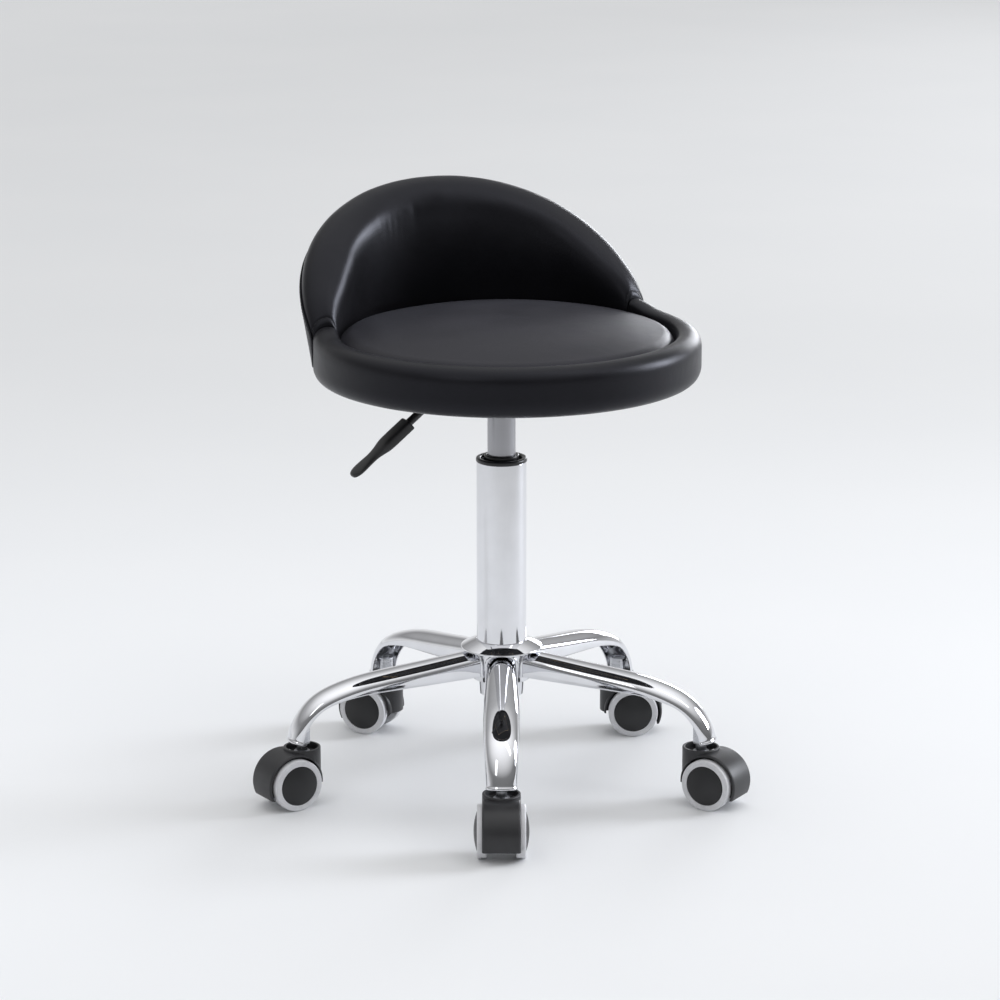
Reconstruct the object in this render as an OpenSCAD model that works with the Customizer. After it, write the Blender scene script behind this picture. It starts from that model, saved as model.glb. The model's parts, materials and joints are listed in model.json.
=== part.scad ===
// Rolling stylist stool: a round upholstered seat with a low curved back on a gas lift,
// standing on five pressed legs with twin-wheel casters.
// Millimetres, +Z up. The origin lies on the floor, on the axis of the column.
// The seat faces -Y, and the lift lever is on the sitter's right, at -X.

/* [Base] */
// Turn of the five-leg base under the seat, degrees
base_turn = -25; // [-180:1:180]
// Outside radius of the hub that carries the legs
hub_r = 28.7; // [27:0.1:34]
// Height of the underside of the hub
hub_z = 111; // [105:1:118]
// Height of the top of the hub
hub_top_z = 143.4; // [140:0.1:150]
// Outside radius of the bright collar on top of the hub
collar_r = 40.9; // [34:0.1:50]
// Wall of the pressed legs
leg_wall = 1.8; // [1.2:0.1:2.5]
// Half the width of a leg at its two ends
leg_end_half_w = 14.8; // [14.5:0.1:16]
// Half the width of a leg at its widest
leg_mid_half_w = 18; // [16:0.1:20]
// Radius of the circle on which the caster stems stand
stem_circle_r = 209; // [205:1:213]

/* [Casters] */
// Direction in which each caster trails, counted from leg 1, degrees
caster_turns = [0, 59, 88, -114, -57];
// Rolling radius of the wheels
wheel_r = 26; // [24:0.5:27]
// Distance of the axle behind the swivel axis
caster_trail = 16.6; // [12:0.1:18]
// Width of the hood over the two wheels
hood_w = 37.3; // [36:0.1:40]
// Height of the top of the hood
hood_top_z = 58.6; // [57:0.1:61]
// Width over the domes of both wheels
caster_w = 53.5; // [50:0.5:58]

/* [Column] */
// Outside radius of the outer tube
column_r = 25; // [25:0.1:25]
// Height of the top of the outer tube
column_top_z = 330; // [320:1:345]
// Height of the foot of the outer tube
column_foot_z = 95; // [92:1:98]
// Radius of the gas cylinder
cylinder_r = 14; // [13.9:0.1:14.1]
// Radius of the piston rod
rod_r = 5; // [4:0.1:5]

/* [Seat] */
// Distance of the seat's centre in front of the column
seat_forward = 13; // [0:1:30]
// Outside radius of the padded rim
rim_r = 192; // [180:1:210]
// Height of the underside of the padded rim
rim_z = 422.5; // [420:0.5:424]
// Height of the top of the padded rim
rim_top_z = 471.7; // [468:0.1:480]
// Radius of the middle pad
pad_r = 165.8; // [150:0.1:166]
// Height of the middle of the pad
pad_top_z = 484; // [478:1:492]

/* [Backrest] */
// Half the angle that the backrest spans
back_half_angle = 72; // [60:1:85]
// Rise of the backrest above the rim
back_rise = 125.6; // [80:0.1:160]
// Outward lean of its top at the middle
back_lean = 15; // [0:1:30]
// Further outward lean towards its ends
side_lean = 22; // [0:1:30]
// Roundness of its outline, less is fuller
back_curve = 0.76; // [0.6:0.01:1.2]

/* [Lever] */
// Distance of the lever's pivot from the column axis
pivot_x = 26; // [25:0.5:30]
// Height of the lever's rod at the pivot
lever_z = 411; // [410:0.5:412]
// Radius of the lever's rod
lever_r = 4; // [3:0.1:4]
// Downward bend of the lever, degrees
lever_bend = 38; // [20:1:45]
// Length of the handle
handle_len = 78; // [60:1:90]

/* [Hidden] */
$fn = 96;

sides = ["left", "right"];
casters = [for (i = [1:5]) each [
    str("caster_", i, "_hood"), str("caster_", i, "_axle"),
    for (s = sides) each [str("caster_", i, "_", s, "_wheel"), str("caster_", i, "_", s, "_tyre")]
]];

// Small gaps
eps = 0.01;
fit_gap = 0.05;
run_gap = 0.08;
free_gap = 0.3;

// Column and its taper
column_wall = 1.5;
taper_top_z = hub_top_z + 1;
taper_drop = 0.062;
floor_plate_z = column_foot_z + 4;
floor_plate_t = 3;
function column_outer_r(z) = column_r - max(0, taper_top_z - z) * taper_drop;

// Legs
leg_start_r = hub_r;
leg_start_z = 142;
leg_slope = 7.3;
leg_knee = 22;
leg_end_slope = 82;
leg_line = 107.2;
leg_knee_r = 200;
leg_tip_r = 64;
leg_start_h = 25.4;
leg_end_h = 12.5;
leg_h_fall = 0.077;
leg_arch = 10;
leg_steps = 22;
arch_steps = 8;
leg_arc_1 = leg_knee_r * (leg_knee - leg_slope) * PI / 180;
leg_arc_2 = leg_tip_r * (leg_end_slope - leg_knee) * PI / 180;
leg_len = leg_line + leg_arc_1 + leg_arc_2;

// Caster stems and sockets
stem_r = 5.4;
pintle_r = 4.5;
socket_bore_r = 5.7;
socket_r = 8.2;
socket_z = 62;
socket_top_z = 81;
groove_z = 74;
groove_h = 2;
groove_r = 4.6;
cup_z = 52;
pintle_z = 34;

// Caster hoods and wheels
hood_r = 30.5;
hood_corner = 3;
hood_foot_z = 13;
neck_z = 24;
wheel_space_r = 28.3;
web_half_w = 8;
wheel_in = 8.6;
tyre_in = 14;
tyre_out = 23.5;
tyre_bore_r = 20;
tyre_corner = 1.6;
axle_r = 3;
axle_half = 21.5;

// Gas lift
bush_z = 270;
bush_bore_r = cylinder_r + free_gap;
cylinder_z = 175.5;
cylinder_top_z = 402;
cylinder_wall = 1.5;
gland_h = 8;
head_h = 6;
piston_z = 280;
piston_h = 10;
shoulder_r = 9;
bearing_z = floor_plate_z + floor_plate_t + 0.1;
bearing_h = 8;
shoulder_z = bearing_z + bearing_h + 0.2;
shoulder_h = 6;
bumper_h = 18;
pin_r = 2.5;

// Seat plate, board and their fasteners
plate_z = 427;
plate_t = 3;
plate_x = 180;
plate_y = 150;
plate_corner = 14;
plate_hub_r = 21;
plate_hub_z = 386;
lever_room_r = 15;
bolt_x = 70;
bolt_y = 55;
bolt_r = 3;
board_z = plate_z + plate_t;
board_t = 12;
cover_t = 0.8;

// Rim and backrest sections
rim_in_r = 166.5;
outer_corner = 15;
inner_corner = 8;
roll_outer = 24;
roll_inner = 12;
roll_drop = 22;
overhang_mid = 11;
overhang_side = 19;
overhang_full = 0.65;
pad_clear_z = 468;
panel_t = 2;
seam_gap = 0.3;
back_steps = 36;
round_steps = 5;

// Lever
bend_x = 65.5;
sleeve_start = 44;
sleeve_len = 38;
sleeve_w = 20;
sleeve_t = 11;
rod_in_sleeve = 28;

// ---------- shared shapes ----------

// Flat rounded rectangle between two corners
module rounded_flat(x0, z0, x1, z1, r) {
    for (x = [x0 + r, x1 - r], z = [z0 + r, z1 - r]) translate([x, z]) circle(r);
    translate([x0 + r, z0]) square([x1 - x0 - 2 * r, z1 - z0]);
    translate([x0, z0 + r]) square([x1 - x0, z1 - z0 - 2 * r]);
}

// Ring between two radii and two heights
module ring(r_in, r_out, z0, z1) {
    rotate_extrude() translate([r_in, z0]) square([r_out - r_in, z1 - z0]);
}

// Solid whose skin runs through a list of equal rings of points. Each end is closed by a
// strip between the first half of its ring and the second half, which runs back beside it.
module skin(rings) {
    n = len(rings[0]);
    m = len(rings);
    last = (m - 1) * n;
    polyhedron(
        points = [for (r = rings) each r],
        faces = [
            for (j = [0:n / 2 - 2]) each [
                [j + 1, j, n - 1 - j],
                [n - 2 - j, j + 1, n - 1 - j]
            ],
            for (i = [0:m - 2], j = [0:n - 1]) each [
                [i * n + j, i * n + (j + 1) % n, (i + 1) * n + j],
                [i * n + (j + 1) % n, (i + 1) * n + (j + 1) % n, (i + 1) * n + j]
            ],
            for (j = [0:n / 2 - 2]) each [
                [last + j, last + j + 1, last + n - 1 - j],
                [last + j + 1, last + n - 2 - j, last + n - 1 - j]
            ]
        ]
    );
}

module at_leg(i) {
    rotate([0, 0, base_turn - 90 + 72 * (i - 1)]) children();
}

// Caster frame: the swivel axis is local Z, and the wheels trail along local +X
module at_caster(i) {
    at_leg(i) translate([stem_circle_r, 0, 0])
        rotate([0, 0, caster_turns[i - 1] - 72 * (i - 1)]) children();
}

// Axle frame: local Z runs along the axle towards one side of the caster
module at_axle(i, side) {
    at_caster(i) translate([caster_trail, 0, wheel_r])
        rotate([side == "left" ? -90 : 90, 0, 0]) children();
}

// ---------- base ----------

module hub_tube() color("silver")
    rotate_extrude() polygon([
        [column_outer_r(hub_z) + fit_gap, hub_z],
        [hub_r, hub_z],
        [hub_r, hub_top_z],
        [column_outer_r(hub_top_z) + fit_gap, hub_top_z]
    ]);

// Low dome that covers the joint of hub and legs
module hub_collar() color("silver") {
    dome_r = 82;
    dome_top = 12.4;
    rotate_extrude() intersection() {
        translate([column_r + fit_gap, hub_top_z]) square([collar_r - column_r - fit_gap, dome_top]);
        translate([0, hub_top_z + dome_top - dome_r]) circle(dome_r, $fn = 360);
    }
}

// Place and slope along the top line of a leg, s millimetres from its root: [x, z, slope]
function leg_spine(s) =
    let (
        ax = leg_start_r + leg_line * cos(leg_slope),
        az = leg_start_z - leg_line * sin(leg_slope),
        bx = ax + leg_knee_r * (sin(leg_knee) - sin(leg_slope)),
        bz = az - leg_knee_r * (cos(leg_slope) - cos(leg_knee))
    )
    s <= leg_line
        ? [leg_start_r + s * cos(leg_slope), leg_start_z - s * sin(leg_slope), leg_slope]
    : s <= leg_line + leg_arc_1
        ? let (a = leg_slope + (s - leg_line) / leg_knee_r * 180 / PI)
          [ax + leg_knee_r * (sin(a) - sin(leg_slope)), az - leg_knee_r * (cos(leg_slope) - cos(a)), a]
    : let (a = leg_knee + (s - leg_line - leg_arc_1) / leg_tip_r * 180 / PI)
      [bx + leg_tip_r * (sin(a) - sin(leg_knee)), bz - leg_tip_r * (cos(leg_knee) - cos(a)), a];

// Inverted channel across the leg at s: an arched top with two straight sides
function leg_ring(s) =
    let (
        p = leg_spine(s),
        w = leg_end_half_w + (leg_mid_half_w - leg_end_half_w) * sin(180 * s / leg_len),
        h = max(leg_end_h, leg_start_h - leg_h_fall * s),
        outer = [for (k = [0:arch_steps]) let (a = 180 * k / arch_steps)
            [w * cos(a), leg_arch * (1 - sin(a))]],
        inner = [for (k = [arch_steps:-1:0]) let (a = 180 * k / arch_steps)
            [(w - leg_wall) * cos(a), leg_wall + (leg_arch - leg_wall) * (1 - sin(a))]],
        flat = concat([[w, h]], outer, [[-w, h], [leg_wall - w, h]], inner, [[w - leg_wall, h]])
    )
    [for (q = flat) [
        s == 0 ? sqrt(pow(hub_r + fit_gap, 2) - q[0] * q[0]) : p[0] - q[1] * sin(p[2]),
        q[0],
        p[1] - q[1] * cos(p[2])
    ]];

// The root of a leg follows the round of the hub
module leg(i) color("silver")
    at_leg(i) skin([for (k = [0:leg_steps]) leg_ring(leg_len * k / leg_steps)]);

// Bright tubes, each with a cross plate, that take the caster stems
module caster_sockets() color("lightgray") {
    plate_t = 2.5;
    plate_h = 7;
    plate_off = 2;
    plate_half_w = 12.4;
    for (i = [1:5]) at_leg(i) translate([stem_circle_r, 0, 0]) difference() {
        union() {
            translate([0, 0, socket_z]) cylinder(r = socket_r, h = socket_top_z - socket_z);
            translate([plate_off, -plate_half_w, socket_z + 4]) cube([plate_t, 2 * plate_half_w, plate_h]);
        }
        translate([0, 0, socket_z - 1]) cylinder(r = socket_bore_r, h = socket_top_z - socket_z + 2);
    }
}

// Steel stems with the flange that the caster turns under
module caster_stems() color("gainsboro") {
    tip = 1.5;
    flange_r = 8;
    flange_z = cup_z + 0.5;
    flange_t = 2;
    for (i = [1:5]) at_leg(i) translate([stem_circle_r, 0, 0]) rotate_extrude() polygon([
        [0, pintle_z], [pintle_r, pintle_z], [pintle_r, flange_z],
        [flange_r, flange_z], [flange_r, flange_z + flange_t],
        [stem_r, flange_z + flange_t], [stem_r, groove_z], [groove_r, groove_z],
        [groove_r, groove_z + groove_h], [stem_r, groove_z + groove_h],
        [stem_r, socket_top_z - tip], [stem_r - tip, socket_top_z], [0, socket_top_z]
    ]);
}

// Spring rings that hold the stems in their sockets, each with a gap
module grip_rings() color("dimgray") {
    slot_w = 2.4;
    for (i = [1:5]) at_leg(i) translate([stem_circle_r, 0, 0]) difference() {
        ring(groove_r + fit_gap, socket_bore_r - fit_gap, groove_z + 0.2, groove_z + groove_h - 0.2);
        translate([0, -slot_w / 2, groove_z - 1]) cube([socket_bore_r + 1, slot_w, groove_h + 2]);
    }
}

// ---------- casters ----------

module caster_hood(i) color("#2c2c2f") {
    drum_half = hood_w / 2;
    at_caster(i) difference() {
        union() {
            translate([caster_trail, 0, wheel_r]) rotate([90, 0, 0]) rotate_extrude() {
                translate([0, -drum_half]) square([hood_r - hood_corner, hood_w]);
                translate([0, hood_corner - drum_half])
                    square([hood_r, hood_w - 2 * hood_corner]);
                for (side = [-1, 1]) translate([hood_r - hood_corner, side * (drum_half - hood_corner)])
                    circle(hood_corner);
            }
            translate([0, 0, neck_z]) cylinder(r = drum_half, h = hood_top_z - neck_z);
        }
        // spaces for the two wheels
        for (side = [-1, 1]) translate([caster_trail, side * (web_half_w + 15), wheel_r])
            rotate([90, 0, 0]) cylinder(r = wheel_space_r, h = 30, center = true);
        // open underneath, lower at the back than under the neck
        translate([-40, -40, -20]) cube([120, 80, 20 + hood_foot_z]);
        translate([-40, -40, 0]) cube([40, 80, neck_z]);
        // cup round the stem's flange, and the swivel bore
        translate([0, 0, cup_z]) cylinder(r = drum_half - 2.6, h = 20);
        translate([0, 0, pintle_z - 0.5]) cylinder(r = pintle_r + run_gap, h = 30);
        translate([caster_trail, 0, wheel_r]) rotate([90, 0, 0])
            cylinder(r = axle_r + fit_gap, h = 40, center = true);
    }
}

module caster_axle(i) color("silver")
    at_caster(i) translate([caster_trail, 0, wheel_r]) rotate([90, 0, 0])
        cylinder(r = axle_r, h = 2 * axle_half, center = true);

// Plastic wheel with a domed outer face and a blind bore
module caster_wheel(i, side) color("#1d1d1f") {
    dome_h = caster_w / 2 - tyre_out;
    dome_base = tyre_bore_r - 0.5;
    dome_r = (dome_base * dome_base + dome_h * dome_h) / (2 * dome_h);
    hub_out_r = 7;
    rim_wall = 2.5;
    disc_z = 17;
    at_axle(i, side) difference() {
        rotate_extrude() {
            translate([0, wheel_in]) square([hub_out_r, disc_z - wheel_in]);
            translate([0, disc_z]) square([tyre_bore_r, tyre_out - disc_z]);
            translate([tyre_bore_r - rim_wall, tyre_in - 3])
                square([rim_wall, disc_z - tyre_in + 3]);
            intersection() {
                translate([0, tyre_out - eps]) square([dome_base, dome_h + 1]);
                translate([0, caster_w / 2 - dome_r]) circle(dome_r);
            }
        }
        translate([0, 0, wheel_in - 1]) cylinder(r = axle_r + run_gap, h = axle_half - wheel_in + 1.3);
    }
}

module caster_tyre(i, side) color("white")
    at_axle(i, side) rotate_extrude() {
        translate([tyre_bore_r, tyre_in]) square([wheel_r - tyre_bore_r - tyre_corner, tyre_out - tyre_in]);
        translate([tyre_bore_r, tyre_in + tyre_corner])
            square([wheel_r - tyre_bore_r, tyre_out - tyre_in - 2 * tyre_corner]);
        for (y = [tyre_in + tyre_corner, tyre_out - tyre_corner])
            translate([wheel_r - tyre_corner, y]) circle(tyre_corner);
    }

// ---------- column and gas lift ----------

// Outer tube: a straight tube on a tapered foot with a pierced floor
module column_tube() color("silver") {
    floor_top_z = floor_plate_z + floor_plate_t;
    rotate_extrude() polygon([
        [column_outer_r(column_foot_z) - column_wall, column_foot_z],
        [column_outer_r(column_foot_z), column_foot_z],
        [column_r, taper_top_z],
        [column_r, column_top_z],
        [column_r - column_wall, column_top_z],
        [column_r - column_wall, taper_top_z],
        [column_outer_r(floor_top_z) - column_wall, floor_top_z],
        [rod_r + free_gap, floor_top_z],
        [rod_r + free_gap, floor_plate_z],
        [column_outer_r(floor_plate_z) - column_wall, floor_plate_z]
    ]);
}

// Plastic bush that guides the gas cylinder, with a recessed lip on top
module guide_bush() color("#141414") {
    flange_r = 25.5;
    lip_z = column_top_z + 9.5;
    collar_z = lip_z + 3;
    collar_out_r = 17.5;
    recess_r = 22.5;
    corner = 2.5;
    rotate_extrude() {
        translate([bush_bore_r, bush_z])
            square([column_r - column_wall - fit_gap - bush_bore_r, column_top_z - bush_z]);
        translate([bush_bore_r, column_top_z]) square([flange_r - bush_bore_r, 5]);
        rounded_flat(recess_r - 2, column_top_z + 1, flange_r, lip_z, 2.4);
        rounded_flat(bush_bore_r, column_top_z + 1, collar_out_r, collar_z, 1.5);
    }
}

// Two races and a ball cage under the shoulder of the piston rod
module thrust_bearing() color("lightgray") {
    race_t = 2;
    bore_r = rod_r + free_gap;
    race_r = 14;
    ball_r = (bearing_h - 2 * race_t) / 2;
    balls = 10;
    ball_circle_r = (bore_r + race_r) / 2;
    ring(bore_r, race_r, bearing_z, bearing_z + race_t);
    ring(bore_r, race_r, bearing_z + bearing_h - race_t, bearing_z + bearing_h);
    for (k = [0:balls - 1]) rotate([0, 0, 360 * k / balls])
        translate([ball_circle_r, 0, bearing_z + bearing_h / 2]) sphere(ball_r - 0.02, $fn = 32);
}

// Rod, held at the foot of the column, with the shoulder below and the piston on top
module piston_rod() color("gainsboro") {
    foot_z = column_foot_z + 0.5;
    clip_groove_z = foot_z + 1.2;
    clip_groove_h = 1.6;
    piston_r = cylinder_r - cylinder_wall - free_gap;
    rotate_extrude() polygon([
        [0, foot_z], [rod_r, foot_z], [rod_r, clip_groove_z],
        [rod_r - 1, clip_groove_z], [rod_r - 1, clip_groove_z + clip_groove_h],
        [rod_r, clip_groove_z + clip_groove_h], [rod_r, shoulder_z],
        [shoulder_r, shoulder_z], [shoulder_r, shoulder_z + shoulder_h],
        [rod_r, shoulder_z + shoulder_h], [rod_r, piston_z],
        [piston_r, piston_z], [piston_r, piston_z + piston_h],
        [0, piston_z + piston_h]
    ]);
}

module rubber_bumper() color("#202020")
    ring(rod_r + fit_gap, 12, shoulder_z + shoulder_h + 0.1, shoulder_z + shoulder_h + bumper_h);

module retaining_clip() color("dimgray") {
    clip_z = column_foot_z + 1.8;
    clip_t = 1.3;
    slot_w = 5;
    difference() {
        ring(rod_r - 1 + fit_gap, rod_r + 4, clip_z, clip_z + clip_t);
        translate([0, -slot_w / 2, clip_z - 1]) cube([rod_r + 5, slot_w, clip_t + 2]);
    }
}

// Pressure tube with its gland below and a tapered, pierced head on top
module gas_cylinder() color("#9a9a9e") {
    void_r = cylinder_r - cylinder_wall;
    head_taper = 0.6;
    rotate_extrude() polygon([
        [rod_r + free_gap, cylinder_z], [cylinder_r, cylinder_z],
        [cylinder_r, plate_hub_z], [cylinder_r - head_taper, cylinder_top_z],
        [pin_r + run_gap, cylinder_top_z], [pin_r + run_gap, cylinder_top_z - head_h],
        [void_r, cylinder_top_z - head_h], [void_r, cylinder_z + gland_h],
        [rod_r + free_gap, cylinder_z + gland_h]
    ]);
}

module valve_pin() color("gainsboro") {
    pin_top_z = lever_z - lever_r - free_gap;
    pin_z = cylinder_top_z - head_h - 2;
    translate([0, 0, pin_z]) cylinder(r = pin_r, h = pin_top_z - pin_r - pin_z);
    translate([0, 0, pin_top_z - pin_r]) sphere(pin_r);
}

// ---------- seat ----------

module bolt_places() {
    for (x = [-bolt_x, bolt_x], y = [-bolt_y, bolt_y]) translate([x, y, 0]) children();
}

// Pressed plate with the tapered socket for the cylinder and two ears for the lever
module seat_plate() color("#26262a") {
    ear_in = 5;
    ear_t = 3;
    ear_x = 12;
    ear_h = 22;
    slot_half_w = 4.7;
    difference() {
        union() {
            translate([-plate_x / 2, -plate_y / 2 + plate_corner, plate_z])
                cube([plate_x, plate_y - 2 * plate_corner, plate_t]);
            translate([-plate_x / 2 + plate_corner, -plate_y / 2, plate_z])
                cube([plate_x - 2 * plate_corner, plate_y, plate_t]);
            for (x = [-1, 1], y = [-1, 1])
                translate([x * (plate_x / 2 - plate_corner), y * (plate_y / 2 - plate_corner), plate_z])
                    cylinder(r = plate_corner, h = plate_t);
            translate([0, 0, plate_hub_z]) cylinder(r = plate_hub_r, h = plate_z - plate_hub_z + 1);
            for (y = [-1, 1]) translate([-pivot_x - ear_x / 2, y * (ear_in + ear_t / 2) - ear_t / 2, plate_z - ear_h])
                cube([ear_x + 6, ear_t, ear_h + 1]);
        }
        // socket below, room for the lever's end above
        translate([0, 0, plate_hub_z - 1]) rotate_extrude() polygon([
            [0, 0], [cylinder_r + fit_gap, 0], [cylinder_r + fit_gap, 1],
            [cylinder_r - 0.6 + fit_gap, cylinder_top_z - plate_hub_z + 1],
            [0, cylinder_top_z - plate_hub_z + 1]
        ]);
        translate([0, 0, cylinder_top_z - eps]) cylinder(r = lever_room_r, h = plate_z - cylinder_top_z);
        translate([-plate_hub_r - 2, -slot_half_w, cylinder_top_z + 0.5])
            cube([plate_hub_r, 2 * slot_half_w, plate_z - cylinder_top_z - 1]);
        translate([-pivot_x, 0, lever_z]) rotate([90, 0, 0])
            cylinder(r = 2 + fit_gap, h = 30, center = true);
        bolt_places() translate([0, 0, plate_z - 1]) cylinder(r = bolt_r + 0.2, h = plate_t + 2);
    }
}

module plate_bolts() color("#3a3a3e") {
    head_r = 5.8;
    head_h = 3.6;
    hex_r = 2.3;
    bolt_places() difference() {
        union() {
            translate([0, 0, plate_z - head_h]) cylinder(r = head_r, h = head_h);
            translate([0, 0, plate_z - eps]) cylinder(r = bolt_r, h = plate_t + board_t);
        }
        translate([0, 0, plate_z - head_h - 1]) cylinder(r = hex_r, h = 3, $fn = 6);
    }
}

// Flanged nuts pressed into the board from above
module tee_nuts() color("lightgray") {
    nut_r = 4;
    flange_r = 8;
    flange_t = 1.2;
    bolt_places() {
        ring(bolt_r + fit_gap, nut_r, board_z + 3, board_z + board_t);
        ring(bolt_r + fit_gap, flange_r, board_z + board_t - flange_t, board_z + board_t);
    }
}

module seat_board() color("burlywood") {
    difference() {
        translate([0, -seat_forward, board_z]) cylinder(r = rim_in_r - 1.5, h = board_t);
        bolt_places() {
            translate([0, 0, board_z - 1]) cylinder(r = bolt_r + 0.2, h = 5);
            translate([0, 0, board_z + 2.9]) cylinder(r = 4 + fit_gap, h = board_t);
            translate([0, 0, board_z + board_t - 1.3]) cylinder(r = 8.1, h = 2);
        }
    }
}

// Thin cloth under the board, cut out round the plate
module dust_cover() color("#18181a") {
    margin = 2;
    difference() {
        translate([0, -seat_forward, board_z - cover_t - 0.05]) cylinder(r = rim_in_r - 2, h = cover_t);
        translate([-plate_x / 2 - margin, -plate_y / 2 - margin, board_z - 2])
            cube([plate_x + 2 * margin, plate_y + 2 * margin, 4]);
    }
}

module seat_pad() color("#1e1e20") {
    pad_z = board_z + board_t + 0.3;
    edge_r = 14;
    edge_z = 457;
    crown_x = pad_r - edge_r;
    crown_h = pad_top_z - edge_z - edge_r;
    crown_r = (crown_x * crown_x + crown_h * crown_h) / (2 * crown_h);
    translate([0, -seat_forward, 0]) rotate_extrude() {
        intersection() {
            translate([0, pad_z]) square([crown_x, pad_top_z - pad_z]);
            translate([0, pad_top_z - crown_r]) circle(crown_r, $fn = 360);
        }
        translate([0, pad_z]) square([pad_r, edge_z - pad_z]);
        intersection() {
            translate([crown_x, edge_z]) circle(edge_r);
            translate([crown_x - 1, edge_z - 1]) square([edge_r + 1, edge_r + 1]);
        }
    }
}

// Section of the padded rim
module rim_flat() {
    outer_x = rim_r - outer_corner;
    inner_x = rim_in_r + inner_corner;
    intersection() {
        for (z = [rim_z + outer_corner, rim_top_z - outer_corner]) translate([outer_x, z]) circle(outer_corner);
        translate([outer_x - 1, rim_z]) square([outer_corner + 1, rim_top_z - rim_z]);
    }
    for (z = [rim_z + inner_corner, rim_top_z - inner_corner]) translate([inner_x, z]) circle(inner_corner);
    translate([inner_x, rim_z]) square([outer_x - inner_x, rim_top_z - rim_z]);
    translate([rim_in_r, rim_z + inner_corner])
        square([outer_x - rim_in_r, rim_top_z - rim_z - 2 * inner_corner]);
    translate([outer_x, rim_z + outer_corner])
        square([outer_corner, rim_top_z - rim_z - 2 * outer_corner]);
}

// The padded rim runs round the front, from one end of the backrest to the other
module rim_bolster() color("#1b1b1d") {
    gap_angle = 0.1;
    span = 360 - 2 * back_half_angle - 2 * gap_angle;
    translate([0, -seat_forward, 0]) rotate([0, 0, 90 + back_half_angle + gap_angle])
        rotate_extrude(angle = span, $fn = 180) rim_flat();
}

// Rise of the backrest at an angle from its middle, 0 at the ends and 1 in the middle
function rise_at(a) = pow(max(0, 1 - pow(a / back_half_angle, 2)), back_curve);

function arc(cx, cz, r, a0, a1, n) =
    [for (k = [0:n]) let (a = a0 + (a1 - a0) * k / n) [cx + r * cos(a), cz + r * sin(a)]];

// How far the roll hangs over the seat where the backrest has risen by the share h
function overhang_at(h) =
    let (t = min(1, h / overhang_full))
    t * t * (3 - 2 * t) * (overhang_mid + (overhang_side - overhang_mid) * (1 - pow(h, 3)));

// Section across the backrest: round foot, leaning outer side, a thick roll whose top falls
// to a tighter inner ridge, and an inner side that runs back under the ridge to a knee, then
// straight down beside the pad
function back_flat(a) =
    let (
        h = rise_at(a),
        lean = (back_lean + side_lean * abs(a) / back_half_angle) * h,
        ro = outer_corner + (roll_outer - outer_corner) * h,
        ri = inner_corner + (roll_inner - inner_corner) * h,
        top_z = rim_top_z + back_rise * h,
        out_x = rim_r - panel_t - seam_gap,
        foot_z = rim_z + outer_corner,
        ox = out_x + lean - ro,
        oz = top_z - ro,
        ix = rim_in_r - overhang_at(h) + ri,
        iz = top_z - roll_drop * h * h - ri,
        slope = atan2(oz - iz, ox - ix) + acos(max(-1, (ri - ro) / norm([ox - ix, oz - iz]))),
        knee_z = min(pad_clear_z, iz - ri - 1),
        px = rim_in_r - ix,
        pz = knee_z - iz,
        turn = 360 + atan2(pz, px) - acos(ri / norm([px, pz])),
        in_x = ix + ri * cos(turn),
        in_z = iz + ri * sin(turn),
        side_n = 4
    )
    concat(
        arc(rim_in_r + inner_corner, rim_z + inner_corner, inner_corner, 180, 270, round_steps),
        arc(out_x - outer_corner, foot_z, outer_corner, 270, 360, round_steps),
        [for (k = [1:side_n]) let (t = k / (side_n + 1)) [out_x + lean * t, foot_z + (oz - foot_z) * t]],
        arc(ox, oz, ro, 0, slope, round_steps),
        arc(ix, iz, ri, slope, turn, round_steps),
        [for (k = [1:side_n]) let (t = k / side_n)
            [in_x + (rim_in_r - in_x) * t, in_z + (knee_z - in_z) * t]]
    );

// Points of a section stood up at an angle round the seat's centre, 0 at the back
function stand_up(flat, a) =
    [for (q = flat) [q[0] * sin(a), q[0] * cos(a) - seat_forward, q[1]]];

module backrest() color("#202022")
    skin([for (k = [0:back_steps]) let (a = back_half_angle * (2 * k / back_steps - 1))
        stand_up(back_flat(a), a)]);

// Separate panel sewn over the outer side of the backrest
function panel_flat(a) =
    let (
        h = rise_at(a),
        lean = (back_lean + side_lean * abs(a) / back_half_angle) * h,
        ro = outer_corner + (roll_outer - outer_corner) * h,
        top_z = rim_top_z + back_rise * h - ro,
        foot_z = rim_z + outer_corner,
        out_x = rim_r,
        n = 6,
        line = [for (k = [0:n]) let (t = k / n) [out_x + lean * t, foot_z + (top_z - foot_z) * t]]
    )
    concat(line, [for (k = [n:-1:0]) [line[k][0] - panel_t, line[k][1]]]);

module back_panel() color("#19191b")
    skin([for (k = [0:back_steps]) let (a = back_half_angle * (2 * k / back_steps - 1))
        stand_up(panel_flat(a), a)]);

// ---------- lever ----------

// Cross pin that the lever turns on
module lever_pin() color("lightgray")
    translate([-pivot_x, 0, lever_z]) rotate([90, 0, 0]) cylinder(r = 2, h = 17, center = true);

// Frame at the bend: local X runs down and out along the handle
module at_bend() {
    translate([-bend_x, 0, lever_z]) rotate([0, lever_bend, 180]) children();
}

module lever_rod() color("#2a2a2c") {
    inner_end = 1.5;
    straight = bend_x + inner_end;
    difference() {
        translate([inner_end, 0, lever_z]) rotate([0, -90, 0]) cylinder(r = lever_r, h = straight);
        translate([-pivot_x, 0, lever_z]) rotate([90, 0, 0])
            cylinder(r = 2 + run_gap, h = 20, center = true);
    }
    at_bend() sphere(lever_r + 0.2);
    at_bend() rotate([0, 90, 0]) cylinder(r = lever_r, h = sleeve_start + rod_in_sleeve);
}

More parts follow.
